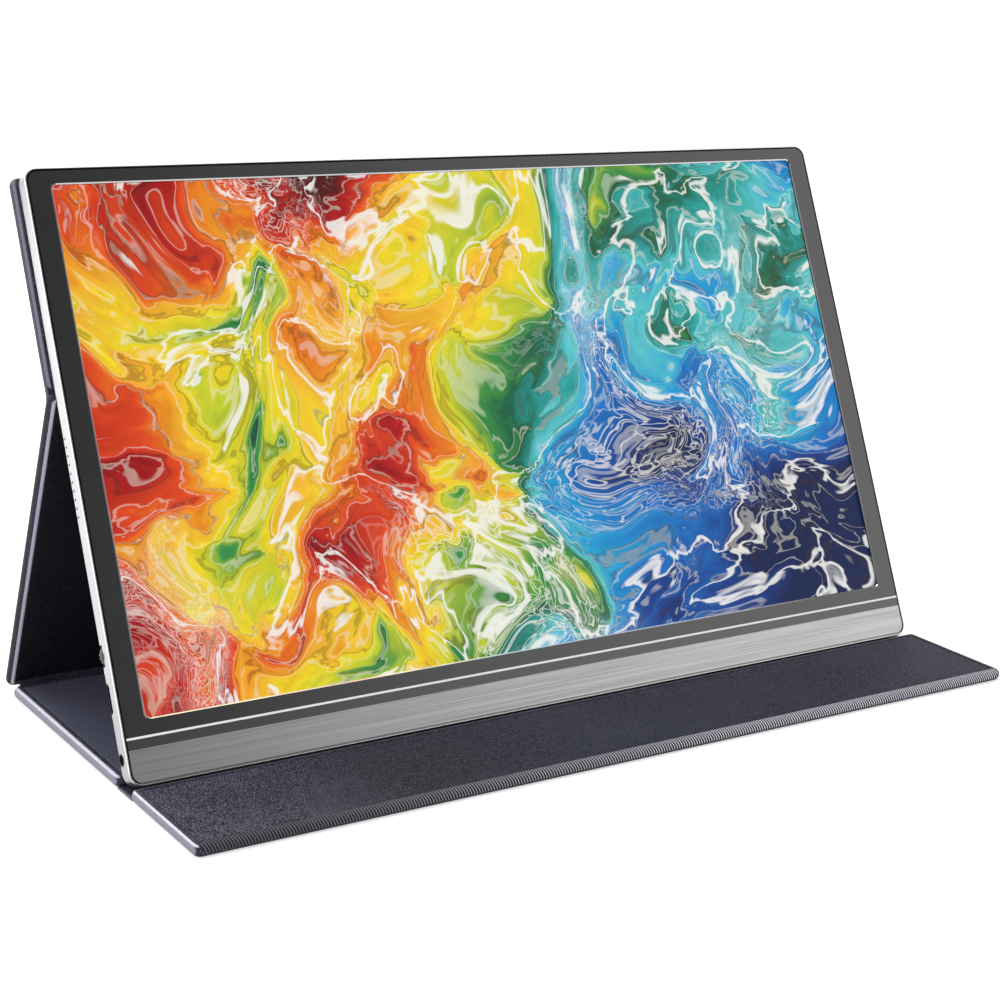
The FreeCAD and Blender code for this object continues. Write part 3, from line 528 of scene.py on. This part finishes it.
def screenFinish():
    # lit paint-like drift of colours, kept in the display's own frame
    material, start = startFinish("screenPicture")
    look = screenArt
    flat = stretched(start, screenPlace(start), (look["zoom"], look["zoom"], 0.0)) + look["shift"]
    across, up, _ = split(start, flat)
    swirled = [flat]
    for scale, detail, reach in look["swirls"]:
        drift = noise(start, swirled[-1], scale, detail, out="Color")
        swirled.append(swirled[-1] + (drift - midGrey) * reach)
    second, third = swirled[-2:]
    drift = noise(start, third, 0.62, 4.0, 0.5)
    level = (drift - 0.5) * look["spread"] + 0.5 + (across - look["shift"][0]) * look["across"]
    level = level + (up - look["shift"][1] - look["middleUp"]) * look["up"]
    paint = start.node("ValToRGB", {"stops": look["stops"]}, {"Fac": level}, "Color")
    streak = noise(start, third, 9.0, 5.0, 0.65)
    paint = paint * (0.62 + streak * 0.76)
    ring = maths(start, "SINE", drift * 170.0 + noise(start, third, 2.0, 3.0) * 9.0)
    paint = blendTones(start, step(start, ring, 0.78, 1.0) * 0.3, paint, look["paleRing"])
    seam = maths(start, "SINE", drift * 105.0 + streak * 3.0)
    paint = blendTones(start, step(start, seam, 0.86, 1.0) * 0.4, paint, look["darkSeam"])
    lace = 1 - step(start, abs(noise(start, third, 1.15, 3.0) - 0.5), 0.003, 0.016)
    foam = 1 - step(start, cellEdge(start, third, look["cells"]), 0.02, 0.09)
    spray = 1 - step(start, cellEdge(start, third, look["froth"]), 0.05, 0.16)
    fleck = step(start, noise(start, third, 0.9, 2.0), 0.54, 0.66)
    patch = step(start, noise(start, second, 0.7, 2.0), 0.56, 0.66)
    paint = blendTones(start, lace * 0.8, paint, look["laceTone"])
    paint = blendTones(start, foam * fleck * 0.6, paint, look["foamTone"])
    paint = blendTones(start, spray * patch * 0.4, paint, look["sprayTone"])
    closeFinish(start, {
        "Base Color": tint(look["glass"]),
        "Roughness": 0.28 + (noise(start, flat, 40.0, 2.0) - 0.5) * 0.04,
        "Specular IOR Level": 0.12,
        "Emission Color": paint,
        "Emission Strength": 0.94,
    })
    return material


circuitGreen = {
    "low": (0.008, 0.055, 0.026),
    "high": (0.02, 0.14, 0.065),
    "track": 0.9 * mm,
    "depth": 0.03 * mm,
}


def circuitFinish():
    material, start = startFinish("circuitGreen")
    look = circuitGreen
    place = ownPlace(start)
    sockets = {"Vector": place, "Scale": 1 / (4 * look["track"])}
    maze = start.node("TexVoronoi", {"distance": "CHEBYCHEV"}, sockets, "Distance")
    copper = step(start, maths(start, "PINGPONG", maze * 4.0, 1.0), 0.45, 0.6)
    closeFinish(start, {
        "Base Color": blendTones(start, copper, look["low"], look["high"]),
        "Roughness": 0.42 - copper * 0.1,
        "Normal": bump(start, copper, look["depth"], 0.5),
    })
    return material


filmAmber = {
    "low": (0.30, 0.12, 0.015),
    "high": (0.62, 0.34, 0.07),
    "pitch": 1.0 * mm,
    "depth": 0.02 * mm,
}


def filmFinish():
    material, start = startFinish("filmAmber")
    look = filmAmber
    across = split(start, ownPlace(start))[0]
    copper = step(start, maths(start, "PINGPONG", across / look["pitch"], 1.0), 0.35, 0.5)
    closeFinish(start, {
        "Base Color": blendTones(start, copper, look["low"], look["high"]),
        "Roughness": 0.3 + copper * 0.08,
        "Normal": bump(start, copper, look["depth"], 0.4),
    })
    return material


meshBlack = {
    "low": (0.004, 0.004, 0.004),
    "high": (0.035, 0.035, 0.036),
    "pitch": 0.35 * mm,
    "depth": 0.05 * mm,
}


def meshFinish():
    material, start = startFinish("meshBlack")
    look = meshBlack
    across, along, up = split(start, screenPlace(start))
    turns = math.tau / look["pitch"]
    weft = maths(start, "SINE", along * turns)
    warp = maths(start, "SINE", (up + across) * turns)
    weave = weft * warp * 0.5 + 0.5
    closeFinish(start, {
        "Base Color": blendTones(start, weave, look["low"], look["high"]),
        "Roughness": 0.8 - weave * 0.1,
        "Normal": bump(start, weave, look["depth"], 0.7),
    })
    return material


lensGlow = {
    "low": (0.55, 0.66, 0.80),
    "high": (0.80, 0.88, 0.96),
    "cloud": 900.0,
    "grit": 4000.0,
    "roughness": 0.2,
}
# painted reflection: the chrome trim is a near-white matt plastic, white as if it mirrored a white room
trimPaintedReflection = {
    "low": (0.95, 0.95, 0.96),
    "high": (1.0, 1.0, 1.0),
    "cloud": 60.0,
    "grit": 3000.0,
    "roughness": 0.3,
}
sheetSteel = {
    "low": (0.50, 0.50, 0.51),
    "high": (0.66, 0.66, 0.66),
    "cloud": 140.0,
    "grit": 2600.0,
    "roughness": 0.34,
}
platedSteel = {
    "low": (0.58, 0.58, 0.56),
    "high": (0.74, 0.74, 0.72),
    "cloud": 200.0,
    "grit": 3000.0,
    "roughness": 0.28,
}
capSilver = {
    "low": (0.74, 0.74, 0.76),
    "high": (0.82, 0.82, 0.84),
    "cloud": 300.0,
    "grit": 5200.0,
    "roughness": 0.33,
}
wheelGrey = {
    "low": (0.055, 0.055, 0.058),
    "high": (0.09, 0.09, 0.095),
    "cloud": 400.0,
    "grit": 4000.0,
    "roughness": 0.34,
}
blackMoulded = {
    "low": (0.010, 0.010, 0.010),
    "high": (0.022, 0.022, 0.023),
    "cloud": 250.0,
    "grit": 3600.0,
    "roughness": 0.48,
}
tapeBlack = {
    "low": (0.008, 0.008, 0.008),
    "high": (0.018, 0.018, 0.018),
    "cloud": 200.0,
    "grit": 1800.0,
    "roughness": 0.72,
}
clearSheet = {
    "low": (0.78, 0.81, 0.83),
    "high": (0.90, 0.92, 0.93),
    "cloud": 30.0,
    "grit": 900.0,
    "roughness": 0.22,
}
boardGrey = {
    "low": (0.22, 0.19, 0.15),
    "high": (0.38, 0.33, 0.26),
    "cloud": 220.0,
    "grit": 1400.0,
    "roughness": 0.82,
}

leatherOutside = leatherFinish("coverLeather", coverLeather)
leatherInside = leatherFinish("flapLining", flapLining)
# one lining in lit and shaded copies: painted light on the base, painted shade on the leg and back
linings = {
    "base": leatherFinish("baseLining", baseLining),
    "flap": leatherInside,
    "leg": leatherFinish("legLining", legLining),
    "back": leatherFinish("backLining", legLining),
}
finishes = {
    "cover_leather": leatherOutside,
    "cover_lining": leatherInside,
    "stiff_board": gritFinish("boardGrey", boardGrey, "plastic"),
    "silver_shell": shellFinish(),
    "charcoal_bezel": bezelFinish(),
    "brushed_chin": brushedFinish("chinBrushed", chinBrushed),
    "polished_trim": gritFinish("trimPaintedReflection", trimPaintedReflection, "plastic"),
    "screen_glass": screenFinish(),
    "clear_sheet": gritFinish("clearSheet", clearSheet, "plastic"),
    "sheet_steel": gritFinish("sheetSteel", sheetSteel, "metal"),
    "circuit_board": circuitFinish(),
    "black_plastic": gritFinish("blackMoulded", blackMoulded, "plastic"),
    "amber_film": filmFinish(),
    "black_tape": gritFinish("tapeBlack", tapeBlack, "plastic"),
    "dust_mesh": meshFinish(),
    "plated_steel": gritFinish("platedSteel", platedSteel, "metal"),
    "wheel_plastic": gritFinish("wheelGrey", wheelGrey, "plastic"),
    "light_lens": gritFinish("lensGlow", lensGlow, "plastic"),
    "button_metal": gritFinish("capSilver", capSilver, "metal"),
}
for entry in frame["record"]["subparts"]:
    mesh = frame["nodes"][entry["node"]].data
    mesh.materials.clear()
    mesh.materials.append(finishes[entry["material_slot"]])
print("finishes:", len(finishes))


# Cover

legLean = math.radians(22.8)
heel = Vector(joints["leg_fold"]["pos_m"])
fold = Vector(joints["back_fold"]["pos_m"])
flapAxis = Vector(joints["flap_fold"]["pos_m"])
spineAxis = Vector(joints["spine_fold"]["pos_m"])
foldGap = 0.4 * mm
baseReach = 99.0502 * mm
flapReach = 49.4 * mm
backFoot = fold + (cover["thick"] + foldGap) * upScreen
panels = {
    "base": {
        "reach": baseReach,
        "turn": 0.0,
        "at": spineAxis - Vector((0, baseReach, cover["nose"])),
    },
    "flap": {
        "reach": flapReach,
        "turn": 0.0,
        "at": flapAxis - Vector((0, flapReach, cover["nose"])),
    },
    "leg": {
        "reach": (fold - heel).length,
        "turn": math.pi / 2 + legLean,
        "at": heel + cover["nose"] * Vector((0, math.cos(legLean), math.sin(legLean))),
    },
    "back": {
        "reach": 74.2 * mm,
        "turn": math.pi / 2 - display["tilt"],
        "at": backFoot - cover["nose"] * outOfScreen,
    },
}


def addPiece(name, points, faces, material, matrix=None, sharp=50):
    mesh = bpy.data.meshes.new(name)
    mesh.from_pydata([tuple(point) for point in points], [], faces)
    shell = bmesh.new()
    shell.from_mesh(mesh)
    bmesh.ops.recalc_face_normals(shell, faces=shell.faces)
    shell.to_mesh(mesh)
    shell.free()
    mesh.shade_smooth()
    mesh.set_sharp_from_angle(angle=math.radians(sharp))
    mesh.materials.append(material)
    piece = bpy.data.objects.new(name, mesh)
    bpy.context.scene.collection.objects.link(piece)
    if matrix:
        piece.matrix_world = matrix
    return piece


def loft(rings):
    # skins closed rings of equal length and caps both ends
    count = len(rings[0])
    points = [point for ring in rings for point in ring]
    faces = [list(range(count))[::-1], list(range(len(points) - count, len(points)))]
    for level in range(len(rings) - 1):
        low, high = level * count, (level + 1) * count
        for index in range(count):
            after = (index + 1) % count
            faces.append((low + index, low + after, high + after, high + index))
    return points, faces


def panelRing(reach, inset, level):
    # one round-cornered loop round a panel, a given way in from its edge
    radius = max(cover["corner"] - inset, cover["leastCorner"])
    right, far, near = cover["half"] - inset, reach + cover["nose"] - inset, inset - cover["nose"]
    centres = (
        (right - radius, far - radius),
        (radius - right, far - radius),
        (radius - right, near + radius),
        (right - radius, near + radius),
    )
    ring = []
    for quarter, (x, y) in enumerate(centres):
        for number in range(cover["cornerSteps"] + 1):
            angle = (quarter + number / cover["cornerSteps"]) * math.pi / 2
            ring.append(Vector((x + radius * math.cos(angle), y + radius * math.sin(angle), level)))
    return ring


def edgeProfile():
    # inset and level of the soft edge, from the outer side round to the inner one
    half, power = cover["nose"], 2 / cover["edgePower"]
    for number in range(cover["edgeSteps"] + 1):
        angle = math.pi * (number / cover["edgeSteps"] - 0.5)
        rise = math.copysign(abs(math.sin(angle)) ** power, angle)
        yield half * (1 - abs(math.cos(angle)) ** power), half * (1 + rise)


def panelMatrix(name):
    panel = panels[name]
    return Matrix.Translation(panel["at"]) @ Matrix.Rotation(panel["turn"], 4, "X")


# soft borders as pairs: way in from the border's edge, and way up from its top
skinBorder = {
    "underInset": 0.6 * mm,
    "roll": ((-0.42 * mm, 0), (-0.2 * mm, -0.03 * mm), (-0.06 * mm, -0.12 * mm), (0, -0.3 * mm)),
    "floorInset": 0.5 * mm,
}
liningBorder = {
    "underInset": 0.6 * mm,
    "crown": (
        (0, -0.32 * mm),
        (0.08 * mm, -0.17 * mm),
        (0.26 * mm, -0.07 * mm),
        (0.6 * mm, -0.01 * mm),
        (1.4 * mm, 0.03 * mm),
        (4.0 * mm, 0.05 * mm),
        (5.0 * mm, 0.05 * mm),
    ),
}


def panelSkin(name):
    reach, border, floor = panels[name]["reach"], cover["border"], cover["floor"]
    shape = [(cover["nose"] + skinBorder["underInset"], 0), *edgeProfile()]
    shape += [(border + extra, cover["thick"] + rise) for extra, rise in skinBorder["roll"]]
    shape += [(border, floor), (border + skinBorder["floorInset"], floor)]
    rings = [panelRing(reach, inset, level) for inset, level in shape]
    # the skin's finish carries the painted edge light
    finish = leatherFinish(name + "Leather", coverLeather, edge=paintedEdgeLight[name])
    piece = addPiece(name + "Skin", *loft(rings), finish, panelMatrix(name))
    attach(piece, name)
    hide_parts(name + "_skin")


def panelLining(name):
    reach, bottom = panels[name]["reach"], cover["liningBottom"]
    inset = cover["border"] + cover["liningGap"]
    shape = [(liningBorder["underInset"], bottom), (0, bottom)]
    shape += [(extra, cover["liningTop"] + rise) for extra, rise in liningBorder["crown"]]
    rings = [panelRing(reach, inset + extra, level) for extra, level in shape]
    piece = addPiece(name + "Lining", *loft(rings), linings[name], panelMatrix(name))
    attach(piece, name)
    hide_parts(name + "_lining")


for panelName in panels:
    panelSkin(panelName)
    panelLining(panelName)
print("cover panels:", ", ".join(panels))

hem = {
    "pitch": 1.18 * mm,
    "rise": 0.2 * mm,
    "slant": 0.42,
    # how faint the painted rib highlight is at the left end, and where it rises to full towards the right
    "faint": 0.13,
    "highlightRise": (-170 * mm, 110 * mm),
    "crestWave": (0.15, 0.9),
    "from": math.radians(88),
    "to": math.radians(208),
    "rows": 12,
    "columnsPerRib": 6,
    "endGap": 2.6 * mm,
    "inner": 2.2 * mm,
    "proud": 0.02 * mm,
    "fadeRate": 6,
    "sharp": 60,
}


# painted highlight on the crest of each rib, faint at the left end and full towards the right
def hemRibHighlight(start, place):
    across, along, up = split(start, place)
    turn = maths(start, "ARCTAN2", 0 - along, up - cover["nose"])
    phase = (across - turn * (cover["nose"] * hem["slant"])) * (math.tau / hem["pitch"])
    highlightRise = hem["faint"] + step(start, across, *hem["highlightRise"]) * (1 - hem["faint"])
    return step(start, maths(start, "SINE", phase), *hem["crestWave"]) * highlightRise


def flapHem():
    # ribbed binding round the flap's front edge
    span = cover["half"] - hem["endGap"]
    columns = int(2 * span / hem["pitch"] * hem["columnsPerRib"])
    rows = hem["rows"]
    points = []
    for column in range(columns + 1):
        x = span * (2 * column / columns - 1)
        for row in range(rows + 1):
            angle = hem["from"] + (hem["to"] - hem["from"]) * row / rows
            along, up = math.cos(angle), math.sin(angle)
            lean = cover["nose"] * hem["slant"] * (angle - math.pi / 2)
            wave = 0.5 + 0.5 * math.sin((x - lean) * math.tau / hem["pitch"])
            fade = min(1, hem["fadeRate"] * row / rows, hem["fadeRate"] * (rows - row) / rows)
            radius = cover["nose"] + hem["proud"] + hem["rise"] * wave * fade
            points.append(Vector((x, radius * along, cover["nose"] + radius * up)))
        backAngles = (hem["to"], (hem["to"] + hem["from"]) / 2, hem["from"])
        for angle in backAngles:
            y, z = hem["inner"] * math.cos(angle), cover["nose"] + hem["inner"] * math.sin(angle)
            points.append(Vector((x, y, z)))
    count = rows + 1 + len(backAngles)
    rings = [points[number * count:(number + 1) * count] for number in range(columns + 1)]
    finish = leatherFinish("hemLeather", hemLeather, hemRibHighlight)
    piece = addPiece("flapHem", *loft(rings), finish, panelMatrix("flap"), hem["sharp"])
    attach(piece, "flap")


flapHem()

creases = {
    "bandThick": 1.0 * mm,
    "webThick": 0.7 * mm,
    "stripInset": 4.0 * mm,
    "foldInset": 0.7 * mm,
    "webInset": 0.5 * mm,
    "bandStart": 2.85 * mm,
    "webFrom": 0.8 * mm,
    "webTo": 4.2 * mm,
    "webHold": 2.8 * mm,
    "endRound": 0.3 * mm,
    "endGrow": 0.97,
    "steps": 10,
}


def band(name, path, thick, width, finish=leatherOutside):
    # a flat leather strip along a path in the YZ plane
    outer, inner = [], []
    for number, point in enumerate(path):
        ahead, behind = path[min(number + 1, len(path) - 1)], path[max(number - 1, 0)]
        along = (ahead - behind).normalized()
        side = Vector((0, -along.z, along.y)) * (thick / 2)
        outer.append(point + side)
        inner.append(point - side)
    return strip(name, outer + inner[::-1], width, finish)


def strip(name, section, width, finish=leatherOutside):
    # leather of one section in the YZ plane, drawn out across the cover
    middle = sum(section, Vector()) / len(section)
    rings = []
    full, end = width / 2 - creases["endRound"], width / 2
    for x, grow in ((-end, creases["endGrow"]), (-full, 1), (full, 1), (end, creases["endGrow"])):
        rings.append([middle + (point - middle) * grow + Vector((x, 0, 0)) for point in section])
    piece = addPiece(name, *loft(rings), finish)
    return piece


def straight(first, last):
    return [first.lerp(last, number / creases["steps"]) for number in range(creases["steps"] + 1)]


stripWidth = 2 * (cover["half"] - creases["stripInset"])
webWidth = stripWidth - 2 * creases["webInset"]
foldWidth = 2 * (cover["half"] - creases["foldInset"])
alongSpine = (heel - spineAxis).normalized()


def pastSpine(way):
    return spineAxis + way * alongSpine


def beforeHeel(way):
    return heel - way * alongSpine


spinePath = straight(pastSpine(creases["bandStart"]), beforeHeel(creases["bandStart"]))
spineBand = band("spineBand", spinePath, creases["bandThick"], stripWidth)
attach(spineBand, "spine")
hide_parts("spine_strip")

basePath = straight(pastSpine(creases["webFrom"]), pastSpine(creases["webTo"]))
baseCrease = band("baseCrease", basePath, creases["webThick"], webWidth)
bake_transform(baseCrease)

heelPath = straight(beforeHeel(creases["webTo"]), beforeHeel(creases["webFrom"]))
heelCrease = band("heelCrease", heelPath, creases["webThick"], webWidth)
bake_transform(heelCrease)

bridge = {
    "legReach": 1.2 * mm,
    "round": 2.2 * mm,
    "backReach": 0.8 * mm,
    "sunk": 0.15 * mm,
    "innerGap": 0.6 * mm,
    "steps": 8,
}


def foldSection():
    # the leather bridges the fold's outer side: round from the leg's face to the back panel's
    legUp = (fold - heel).normalized()
    legOut = Vector((0, legUp.z, -legUp.y))
    legFace = fold + cover["nose"] * legOut
    backFace = backFoot - cover["nose"] * outOfScreen
    chord = backFace - legFace
    along = (chord.y * upScreen.z - chord.z * upScreen.y) / (legUp.y * upScreen.z - legUp.z * upScreen.y)
    corner = legFace + along * legUp
    first = corner - bridge["legReach"] * legUp - bridge["sunk"] * legOut
    last = corner + bridge["round"] * upScreen
    outer = []
    for number in range(bridge["steps"] + 1):
        share = number / bridge["steps"]
        outer.append(first.lerp(corner, share).lerp(corner.lerp(last, share), share))
    outer.append(backFace)
    outer.append(backFace + bridge["backReach"] * upScreen + bridge["sunk"] * outOfScreen)
    half = creases["bandThick"] / 2 * outOfScreen
    gap = bridge["innerGap"] * upScreen
    inner = [point + half for point in straight(fold + gap, backFoot - gap)]
    return outer + inner[::-1] + [fold + cover["nose"] / 2 * legOut]


foldCrease = strip("foldCrease", foldSection(), foldWidth)
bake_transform(foldCrease)

groove = {
    "level": 0.4 * mm,
    "thick": 0.7 * mm,
    "flapEnd": 2.0 * mm,
    "baseEnd": 1.45 * mm,
    "inset": 0.7 * mm,
    "webThick": 0.5 * mm,
    "webInset": 1.2 * mm,
    "webFrom": 3.2 * mm,
    "webHold": 3.0 * mm,
    "webTo": (0.4 * mm, 0.35 * mm),
}
# the groove's flanks are painted in a lit tone
grooveLeather = leatherFinish("grooveLeather", coverLeather, edge=paintedEdgeLight["groove"])


def inGroove(way, rise=0):
    return Vector((0, flapAxis.y + way, groove["level"] + rise))


grooveEnd = Vector((0, panels["base"]["at"].y - groove["baseEnd"], groove["level"]))
groovePath = straight(inGroove(groove["flapEnd"]), grooveEnd)
grooveWidth = 2 * (cover["half"] - groove["inset"])
grooveBand = band("grooveBand", groovePath, groove["thick"], grooveWidth, grooveLeather)
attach(grooveBand, "base")
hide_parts("groove_strip")

flapPath = straight(inGroove(groove["webFrom"]), inGroove(*groove["webTo"]))
flapWebWidth = 2 * (cover["half"] - groove["webInset"])
flapCrease = band("flapCrease", flapPath, groove["webThick"], flapWebWidth, grooveLeather)
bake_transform(flapCrease)
print("creases: spine, heel, fold, groove")


# Stage, light and camera

stage = {
    "half": 6.0,
    "tone": (0.80, 0.80, 0.80),
    "near": 0.5,
    "far": 0.75,
    "fade": (0.5, 1.6),
    "gloss": 0.1,
    "drop": 0.05 * mm,
}
white = (1, 1, 1, 1)


def seenDirectly(start):
    # 1 on rays from the camera, in mirrors and through glass
    names = ("Is Camera Ray", "Is Glossy Ray", "Is Transmission Ray")
    camera, glossy, through = start.node("LightPath", None, None, names)
    return maths(start, "MAXIMUM", maths(start, "MAXIMUM", camera, glossy), through), camera


def addFloor():
    material, start = startFinish("paleFloor")
    seen, camera = seenDirectly(start)
    matt = start.node("BsdfDiffuse", None, {"Color": tint(stage["tone"])})
    reach = start.node("VectorMath", {"operation": "LENGTH"}, {0: ownPlace(start)}, 1)
    rise = step(start, reach, *stage["fade"]) * (stage["far"] - stage["near"])
    strength = seen * stage["gloss"] + camera * (stage["near"] - stage["gloss"] + rise)
    lift = start.node("Emission", None, {"Color": white, "Strength": strength})
    start.node("OutputMaterial", None, {"Surface": start.node("AddShader", None, {0: matt, 1: lift})})
    half = stage["half"]
    corners = [(-half, -half, 0), (half, -half, 0), (half, half, 0), (-half, half, 0)]
    floor = addPiece("paleFloor", corners, [(0, 1, 2, 3)], material)
    floor.location.z = -stage["drop"]


sky = {
    "fill": 0.42,
    "frontDark": 0.9,
    "front": (0.1, 0.5),
    "right": (0.31, 0.60),
    "high": 1.1,
    "low": 1.5,
    "rise": (0.28, 0.6),
}


def addSky():
    # white where it is seen, but the room before the screen is darker to its left and higher up
    world = bpy.data.worlds.new("studioSky")
    world.use_nodes = True
    world.node_tree.nodes.clear()
    start = Wire(world.node_tree)
    seen, camera = seenDirectly(start)
    across, along, up = split(start, start.node("TexCoord", None, None, "Generated"))
    front = step(start, 0 - along, *sky["front"]) * (1 - camera)
    right = step(start, across, *sky["right"])
    room = sky["low"] - step(start, up, *sky["rise"]) * (sky["low"] - sky["high"])
    level = 1 + front * (room * (1 - (1 - right) * sky["frontDark"]) - 1)
    fill = start.node("Background", None, {"Color": white, "Strength": sky["fill"]})
    bright = start.node("Background", None, {"Color": white, "Strength": level})
    both = start.node("MixShader", None, {0: seen, 1: fill, 2: bright})
    start.node("OutputWorld", None, {"Surface": both})
    bpy.context.scene.world = world


lamps = {
    "leftSoft": {"at": (-1.6, -0.3, 0.7), "aim": (0, 0, 0.06), "size": (1.9, 1.2), "watts": 13},
    "overhead": {"at": (0.25, 0.2, 1.7), "aim": (0, 0, 0.05), "size": (2.2, 1.2), "watts": 12},
    "backRim": {"at": (-0.5, 1.45, 0.95), "aim": (-0.1, 0, 0.05), "size": (1.6, 0.8), "watts": 20},
    "rightSoft": {"at": (1.7, -0.2, 0.9), "aim": (0.1, 0, 0.1), "size": (1.2, 1.2), "watts": 6},
    "frontSoft": {"at": (-1.4, -1.5, 1.1), "aim": (0, 0, 0.08), "size": (1.4, 1.4), "watts": 9},
}


def addLamp(name, look):
    data = bpy.data.lights.new(name, "AREA")
    data.shape = "RECTANGLE"
    data.size, data.size_y = look["size"]
    data.energy = look["watts"]
    lamp = bpy.data.objects.new(name, data)
    lamp.location = look["at"]
    lamp.rotation_euler = (Vector(look["aim"]) - Vector(look["at"])).to_track_quat("-Z", "Y").to_euler()
    lamp.visible_camera = False
    bpy.context.scene.collection.objects.link(lamp)


photoView = {
    "lens": 74.39,
    "sensor": 36,
    "clipStart": 0.01,
    "at": (-442.97 * mm, -654.64 * mm, 289.76 * mm),
    "right": (0.83983, -0.54180, 0.03416),
    "up": (0.11304, 0.23607, 0.96511),
    "back": (-0.53094, -0.80667, 0.25946),
}


def addCamera():
    data = bpy.data.cameras.new("photoCamera")
    data.lens = photoView["lens"]
    data.sensor_width = photoView["sensor"]
    data.clip_start = photoView["clipStart"]
    view = bpy.data.objects.new("photoCamera", data)
    turn = Matrix((photoView["right"], photoView["up"], photoView["back"])).transposed()
    view.matrix_world = Matrix.Translation(photoView["at"]) @ turn.to_4x4()
    bpy.context.scene.collection.objects.link(view)
    bpy.context.scene.camera = view


addFloor()
addSky()
for lampName, lampLook in lamps.items():
    addLamp(lampName, lampLook)
addCamera()
bpy.context.scene.view_settings.view_transform = "Standard"
print("stage, light and camera set")
